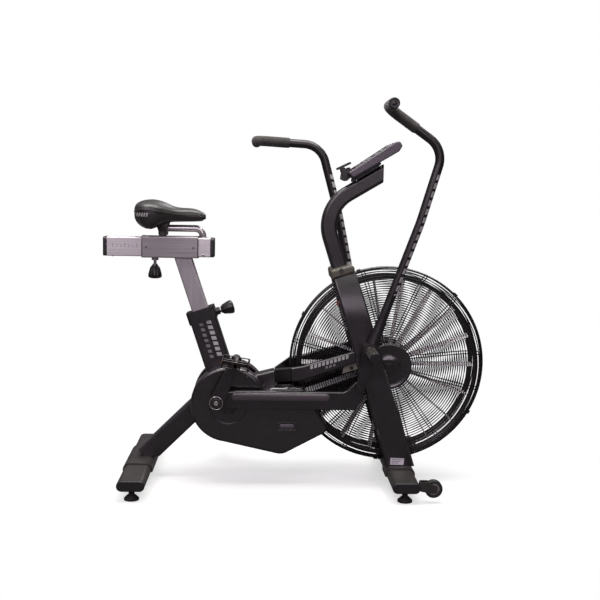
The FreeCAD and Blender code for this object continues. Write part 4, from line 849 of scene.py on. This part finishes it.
# ---------------------------------------------------------------- links, cranks and cover
def stadium(start, end, radius):
    """Points (X, Z) round two ends joined by straight sides."""
    steps = 12
    run = (end - start).normalized()
    angle = atan2(run.z, run.x)
    outline = []
    for centre, first in ((end, angle - pi / 2), (start, angle + pi / 2)):
        for index in range(steps + 1):
            turn = first + pi * index / steps
            outline.append((centre.x + radius * cos(turn), centre.z + radius * sin(turn)))
    return outline


def dome_bar(mesh, start, end, radius, y, high, finish):
    """A bar with a domed face towards the right, standing up from the distance y."""
    points, rings = [], 7
    for ring in range(rings):
        angle = pi / 2 * ring / (rings - 1)
        outline = stadium(start, end, max(radius * cos(angle), 0.0003))
        points += [(x, y - high * sin(angle), z) for x, z in outline]
    mesh.add(points, skin(rings, len(points) // rings), finish)


RIGHT_REAR, RIGHT_FRONT = polar(CRANK, 0.041, 153), polar(PIVOT, 0.1235, 255.9)
LEFT_REAR, LEFT_FRONT = polar(CRANK, 0.041, 333), polar(PIVOT, 0.1235, 287.7)


def rise_of(rear, front):
    return atan2(front.z - rear.z, front.x - rear.x)


TO_LEFT_LINK = (tipped(rise_of(RIGHT_REAR, RIGHT_FRONT) - rise_of(LEFT_REAR, LEFT_FRONT), LEFT_REAR)
                @ Matrix.Translation(LEFT_REAR - RIGHT_REAR) @ MIRROR)

rib = Mesh("link_rib_right")
dome_bar(rib, Vector((-0.1863, 0, 0.2922)), Vector((0.0943, 0, 0.2922)), 0.0122, -0.1428, 0.0036, RIB_HIGHLIGHT)
rib.build("link_right", "moving_paint", smooth_angle=60)
rib.moved(TO_LEFT_LINK, "link_rib_left").build("link_left", "moving_paint", smooth_angle=60)

boss = Mesh("crank_boss_right")
circle = [polar(RIGHT_REAR, 0.0200, 7.5 * i, -0.1612) for i in range(48)]
sweep(boss, circle, 0.0011, CHROME, 8, closed=True)
lathe(boss, RIGHT_REAR - Y * 0.1628, -Y, ((0, 0.0152), (0.0006, 0.0150), (0.0010, 0.0135), (0.0010, 0.0095)),
      DARK_STEEL, 40)
bolt_head(boss, RIGHT_REAR - Y * 0.1648, -Y, (0.0066, 0.0036), CHROME, "socket")
boss.build("crank", "bare_steel", smooth_angle=40)
boss.moved(OPPOSITE_CRANK, "crank_boss_left").build("crank", "bare_steel", smooth_angle=40)


def flat(mesh, outline, y, thick, finish):
    """A thin flat piece on a face that looks to the right."""
    plate(mesh, outline, y - thick, y, finish)


latch = Mesh("cover_latch_right")
plinth = stadium(Vector((-0.0405, 0, 0.1905)), Vector((-0.0065, 0, 0.1905)), 0.0102)
flat(latch, plinth, -0.0962, 0.0026, COVER)
dome_bar(latch, Vector((-0.0400, 0, 0.1890)), Vector((-0.0070, 0, 0.1890)), 0.0070, -0.0986, 0.0020, SHELL)
rim = stadium(Vector((-0.0455, 0, 0.1885)), Vector((-0.0015, 0, 0.1885)), 0.0128)
sweep(latch, [Vector((x, -0.0968, z)) for x, z in rim[:-1]], 0.0009, COVER, 8, closed=True)
bolt_head(latch, Vector((-0.0215, -0.0962, 0.216)), -Y, (0.0036, 0.0022), DARK_STEEL, "socket")
for x, z in ((-0.310, 0.256), (-0.208, 0.158), (-0.150, 0.345), (0.070, 0.190), (0.010, 0.298)):
    bolt_head(latch, Vector((x, -0.0966, z)), -Y, (0.0034, 0.0018), DARK_STEEL, "socket")
latch.build("frame", "black_plastic", smooth_angle=40)
latch.moved(MIRROR, "cover_latch_left").build("frame", "black_plastic", smooth_angle=40)


# ---------------------------------------------------------------- marks in place of lettering
def slanted(foot, along, rise):
    """Corners (X, Z) of a four-sided mark with its foot at a point."""
    return [(c.x, c.z) for c in (foot, foot + along, foot + along + rise, foot + rise)]


def dashes(mesh, start, run, rise, count, size, gap, y, finish, slant):
    """A broken stripe: count bars along run, each with its height along rise, on a face at y."""
    long, high = size
    for index in range(count):
        foot = start + run * (index * (long + gap))
        flat(mesh, slanted(foot, run * long, rise * high + run * slant), y, 0.00025, finish)


tube_marks = Mesh("tube_marks_right")
for start, size, gap, finish, slant in (
        (up_seat(0.270, 0.0085), (0.0118, 0.0150), 0.0062, MARK, 0.004),
        (up_seat(0.268, -0.0155), (0.0100, 0.0120), 0.0080, FAINT, 0.003)):
    dashes(tube_marks, start, -SEAT_RUN, SEAT_FORWARD, 7, size, gap, -0.0310, finish, slant)
BEAM_SLOPE = radians(16.9)
beam_run = Vector((cos(BEAM_SLOPE), 0, sin(BEAM_SLOPE)))
beam_rise = Vector((-beam_run.z, 0, beam_run.x))
beam_start = Vector((0.046, 0, 0.3755))
dashes(tube_marks, beam_start, beam_run, beam_rise, 10, (0.0086, 0.0115), 0.0042, -0.1140, MARK, 0.0035)
below = beam_start + beam_run * 0.046 - beam_rise * 0.0115
dashes(tube_marks, below, beam_run, beam_rise, 3, (0.0080, 0.0072), 0.0042, -0.1140, FAINT, 0.002)
tube_marks.build("frame", "frame_paint", smooth_angle=30)
tube_marks.moved(MIRROR, "tube_marks_left").build("frame", "frame_paint", smooth_angle=30)

post_marks = Mesh("post_marks")
for side in (-1, 1):
    ruler = Mesh("ruler")
    for index in range(15):
        at = up_seat(0.312 + 0.0105 * index, -0.006)
        high = 0.013 if index % 5 == 0 else 0.008
        flat(ruler, slanted(at, SEAT_FORWARD * high, SEAT_RUN * 0.0014), -0.0230, 0.0002, MARK)
    ruler = ruler if side < 0 else ruler.moved(MIRROR, "ruler")
    post_marks.add(ruler.points, ruler.faces, MARK)
post_marks.build("seat_post", "brushed_post", smooth_angle=30)


# ---------------------------------------------------------------- slider and sleeve
def box_ring(mesh, x0, x1, half_y, half_z, z, wall, radius, finish):
    """A rounded rectangular band round the slider."""
    def outline(inset):
        corners = []
        r = radius - inset
        for cy, cz, first in ((1, 1, 0), (-1, 1, 90), (-1, -1, 180), (1, -1, 270)):
            for step in range(5):
                angle = radians(first + 22.5 * step)
                corners.append((cy * (half_y - radius) + r * cos(angle),
                                cz * (half_z - radius) + r * sin(angle)))
        return corners
    rings = [(x0, 0.0), (x1, 0.0), (x1, wall), (x0, wall)]
    points = [(x, y, z + dz) for x, inset in rings for y, dz in outline(inset)]
    mesh.add(points, skin(4, 20, closed=True), finish)


gaskets = Mesh("sleeve_gaskets")
for x in (-0.4895, -0.3140):
    box_ring(gaskets, x, x + 0.0025, 0.0338, 0.0345, 0.7455, 0.0036, 0.0075, PLASTIC)
for x, z in ((-0.475, 0.7445), (-0.327, 0.7445)):
    for sign in (-1, 1):
        bolt_head(gaskets, Vector((x, sign * 0.0329, z)), Y * sign, (0.0030, 0.0014), DARK_STEEL, "round")
gaskets.build("seat_post", "brushed_post", smooth_angle=40)

slider_bolts = Mesh("slider_bolts")
for sign in (-1, 1):
    place = Vector((-0.2955, sign * 0.0289, 0.7205))
    bolt_head(slider_bolts, place, Y * sign, (0.0042, 0.0026), STEEL, "socket")
    for index in range(7):
        foot = Vector((-0.580 + 0.0125 * index, 0, 0.7425))
        high = 0.013 if index % 3 == 0 else 0.008
        mark = slanted(foot, Vector((0.0012, 0, 0)), UP * high)
        plate(slider_bolts, mark, sign * 0.0289, sign * 0.0292, FAINT)
bolt_head(slider_bolts, Vector((-0.5835, 0, 0.7150)), -UP, (0.0045, 0.0035), STEEL, "round")
lathe(slider_bolts, Vector((-0.296, 0, 0.7752)), UP,
      ((0, 0.0152), (0.0016, 0.0152), (0.0026, 0.0138), (0.0026, 0.0114)), CHROME, 32)
slider_bolts.build("seat_slider", "brushed_post", smooth_angle=40)


# ---------------------------------------------------------------- frame details
details = Mesh("frame_details")
label = [(0.3035, 0.0750), (0.3465, 0.0745), (0.3475, 0.0955), (0.3045, 0.0965)]
flat(details, label, -0.1200, 0.0006, PLATE)
for row in range(3):
    foot, long = Vector((0.3085, 0, 0.0905 - 0.0055 * row)), 0.0335 - 0.006 * row
    flat(details, slanted(foot, Vector((long, 0, 0)), UP * 0.0018), -0.1206, 0.0002, FAINT)
tab = [(0.147, 0.361), (0.150, 0.3775), (0.158, 0.3880), (0.1885, 0.3960), (0.1965, 0.3770)]
flat(details, tab, -0.0985, 0.0030, TAB)
lathe(details, (0.176, -0.1015, 0.3795), -Y, ((0, 0.0062), (0.0012, 0.0062), (0.0012, 0.0040)), BLACK, 20)
stop = ((0, 0.0088), (0.0035, 0.0088), (0.0058, 0.0074), (0.0066, 0.004))
lathe(details, (0.147, 0.0905, 0.560), -Y, stop, ORANGE, 28)
turn = Matrix.Rotation(radians(-27), 3, "Y")
block(details, (0.1545, 0, 0.9925), (0.0240, 0.078, 0.0200), PLASTIC, turn, 0.0025)
block(details, (0.1445, 0, 1.0125), (0.0400, 0.086, 0.0022), RUBBER, turn, 0.0008)
for sign in (-1, 1):
    for x, z, r in ((0.1838, 0.9655, 0.0030), (0.2600, 1.0085, 0.0024)):
        bolt_head(details, Vector((x, sign * 0.0307, z)), Y * sign, (r, 0.0018), CHROME, "round")
details.build("frame", "frame_paint", smooth_angle=35)

for sign, side in ((-1, "right"), (1, "left")):
    hub = Mesh("wheel_hub_" + side)
    profile = ((0, 0.0178), (0.0016, 0.0178), (0.0022, 0.0168), (0.0022, 0.0125),
               (0.0012, 0.0115), (0.0012, 0.0098), (0.0024, 0.0090), (0.0024, 0.005))
    for outward in (-1, 1):
        face = Vector((0.417, sign * 0.272 + outward * 0.0071, 0.044))
        lathe(hub, face, Y * outward, profile, FAINT, 40)
    bolt_head(hub, Vector((0.417, sign * 0.2812, 0.044)), Y * sign, (0.0062, 0.0034), STEEL, "socket")
    hub.build("wheel_" + side, "wheel_rubber", smooth_angle=40)


# ---------------------------------------------------------------- console face
FACE = Vector((0.154, 0, 0.988))
FACE_RUN = Vector((0.141, 0, 0.096)).normalized()
FACE_OUT = Vector((-FACE_RUN.z, 0, FACE_RUN.x))
FACE_TURN = Matrix((FACE_RUN, Y, FACE_OUT)).transposed()


def on_console(along, across, out):
    return FACE + FACE_RUN * along + Y * across + FACE_OUT * out


def tile(along, across, out, size, finish, inset=0.0):
    """A small block on the console's face."""
    block(panel, on_console(along, across, out), size, finish, FACE_TURN, inset)


panel = Mesh("console_panel")
for span, half, wide in ((0.0505, 0.0762, 0.0030), (0.0600, 0.0880, 0.0012)):
    for sign in (-1, 1):
        tile(0.104, sign * half, 0.0004, (2 * span, wide, 0.0012), PLASTIC, 0.0003)
        tile(0.104 + sign * span, 0, 0.0004, (wide, 2 * half, 0.0012), PLASTIC, 0.0003)
for along, high in ((0.136, 0.010), (0.117, 0.010), (0.088, 0.016)):
    for column in range(4):
        for digit in (-1, 0, 1):
            across = -0.054 + 0.036 * column + 0.0075 * digit
            tile(along, across, -0.00095, (high, 0.0045, 0.0002), DIGITS)
for column in range(13):
    tall = 0.003 + 0.0012 * ((column * 5) % 7)
    tile(0.066 + tall / 2, -0.060 + 0.010 * column, -0.00095, (tall, 0.006, 0.0002), DIGITS)
for along, across in ((0.163, -0.091), (0.163, 0.091), (0.012, -0.091), (0.012, 0.091)):
    bolt_head(panel, on_console(along, across, 0.0000), FACE_OUT, (0.0024, 0.0010), DARK_STEEL, "socket")
BUTTONS_ALONG, MARK_R = 0.032, 0.0158
for across, finish in ((-0.036, MARK), (0.036, ORANGE)):
    for index in range(24):
        angle = 2 * pi * index / 24
        along = BUTTONS_ALONG + MARK_R * cos(angle)
        tile(along, across + MARK_R * sin(angle), 0.0003, (0.0018, 0.0018, 0.0008), finish)
for across in (-0.074, 0, 0.074):
    tile(BUTTONS_ALONG, across, 0.0002, (0.012, 0.016, 0.0010), FAINT, 0.0003)
panel.build("frame", "black_plastic", smooth_angle=30)


# ---------------------------------------------------------------- camera, floor and light
def studio():
    """White to the camera, and a soft sky for the bike: bright above, dim around."""
    world = bpy.data.worlds.new("studio")
    bpy.context.scene.world = world
    world.use_nodes = True
    tree = world.node_tree
    tree.nodes.clear()
    make, link = tree.nodes.new, tree.links.new
    height = make("ShaderNodeSeparateXYZ")
    link(make("ShaderNodeTexCoord").outputs["Generated"], height.inputs[0])
    ramp = make("ShaderNodeValToRGB")
    stops = ramp.color_ramp.elements
    stops[0].position, stops[0].color = 0.0, (0.105, 0.088, 0.105, 1)
    stops[1].position, stops[1].color = 0.95, (1.0, 1.0, 1.0, 1)
    for position, grey in ((0.25, 0.10), (0.5, 0.26)):
        stops.new(position).color = (grey, grey * 0.88, grey, 1)
    link(height.outputs["Z"], ramp.inputs["Fac"])
    sky, white = make("ShaderNodeBackground"), make("ShaderNodeBackground")
    link(ramp.outputs["Color"], sky.inputs["Color"])
    white.inputs["Color"].default_value = (1, 1, 1, 1)
    mix = make("ShaderNodeMixShader")
    link(make("ShaderNodeLightPath").outputs["Is Camera Ray"], mix.inputs["Fac"])
    link(sky.outputs[0], mix.inputs[1])
    link(white.outputs[0], mix.inputs[2])
    link(mix.outputs[0], make("ShaderNodeOutputWorld").inputs["Surface"])


def area_light(name, place, aim, size, power, color):
    light = bpy.data.lights.new(name, "AREA")
    light.color = color
    light.shape = "RECTANGLE"
    light.size, light.size_y = size
    light.energy = power
    lamp = bpy.data.objects.new(name, light)
    lamp.location = place
    lamp.rotation_euler = (Vector(aim) - Vector(place)).to_track_quat("-Z", "Y").to_euler()
    bpy.context.scene.collection.objects.link(lamp)


def floor():
    """A pale floor under a painted white glow, seen only by the camera, that grows to pure white away from
    the bike to look like a studio sweep.
    """
    data = bpy.data.meshes.new("studio_floor")
    far = 40.0
    data.from_pydata([(-far, -far, 0), (far, -far, 0), (far, far, 0), (-far, far, 0)], [], [(0, 1, 2, 3)])
    piece = bpy.data.objects.new("studio_floor", data)
    bpy.context.scene.collection.objects.link(piece)
    paint = Paint("studio_floor", (0.90, 0.90, 0.90), 0.7, specular=0.1)
    distance = paint.node("ShaderNodeVectorMath", {0: paint.coordinates}, operation="LENGTH")
    glow_away_from_bike = paint.between(distance.outputs["Value"], 0.35, 1.15, 0.55, 1.0)
    seen = paint.node("ShaderNodeLightPath").outputs["Is Camera Ray"]
    camera_glow_share = paint.calc("MULTIPLY", glow_away_from_bike, seen)
    # Pale to the camera, dark to light that bounces off it.
    paint.put("Base Color", paint.mixed(seen, (0.10, 0.095, 0.10, 1), paint.color))
    # Painted glow: a white emission seen only by the camera, over half strength even beside the bike and
    # full far from it.
    white = paint.node("ShaderNodeEmission", {"Color": (1, 1, 1, 1), "Strength": 1.0}).outputs[0]
    mix = paint.node("ShaderNodeMixShader", {0: camera_glow_share, 1: paint.shader.outputs[0], 2: white})
    paint.feed(paint.tree.nodes["Material Output"].inputs["Surface"], mix.outputs[0])
    data.materials.append(paint.material)


def camera():
    yaw, pitch, roll = radians(-2.16), radians(6.20), radians(1.09)
    ahead = Vector((-sin(yaw) * cos(pitch), cos(yaw) * cos(pitch), -sin(pitch)))
    level = Vector((cos(yaw), sin(yaw), 0))
    up = level.cross(ahead)
    across = level * cos(roll) + up * sin(roll)
    upright = up * cos(roll) - level * sin(roll)
    data = bpy.data.cameras.new("camera")
    data.sensor_width = 36.0
    data.lens = 60.59
    data.clip_end = 200.0
    lens = bpy.data.objects.new("camera", data)
    lens.matrix_world = Matrix.Translation((-0.1077, -3.2228, 0.931)) @ Matrix(
        (across, upright, -ahead)).transposed().to_4x4()
    bpy.context.scene.collection.objects.link(lens)
    bpy.context.scene.camera = lens


studio()
floor()
camera()
area_light("softbox_top", (0.0, -0.25, 2.9), (0, 0, 0.4), (2.8, 1.2), 100, (1.0, 0.985, 0.93))
area_light("softbox_front", (-1.5, -2.7, 2.4), (0, 0, 0.6), (1.6, 0.9), 30, (1.0, 0.88, 0.98))
area_light("softbox_level", (0.2, -5.2, 2.1), (0.1, 0, 1.0), (4.2, 1.5), 62, (1.0, 0.87, 0.99))
area_light("softbox_back", (0.9, 2.8, 2.3), (0.1, 0, 0.4), (2.0, 1.0), 30, (1.0, 0.95, 0.98))
bpy.context.scene.view_settings.view_transform = "Standard"
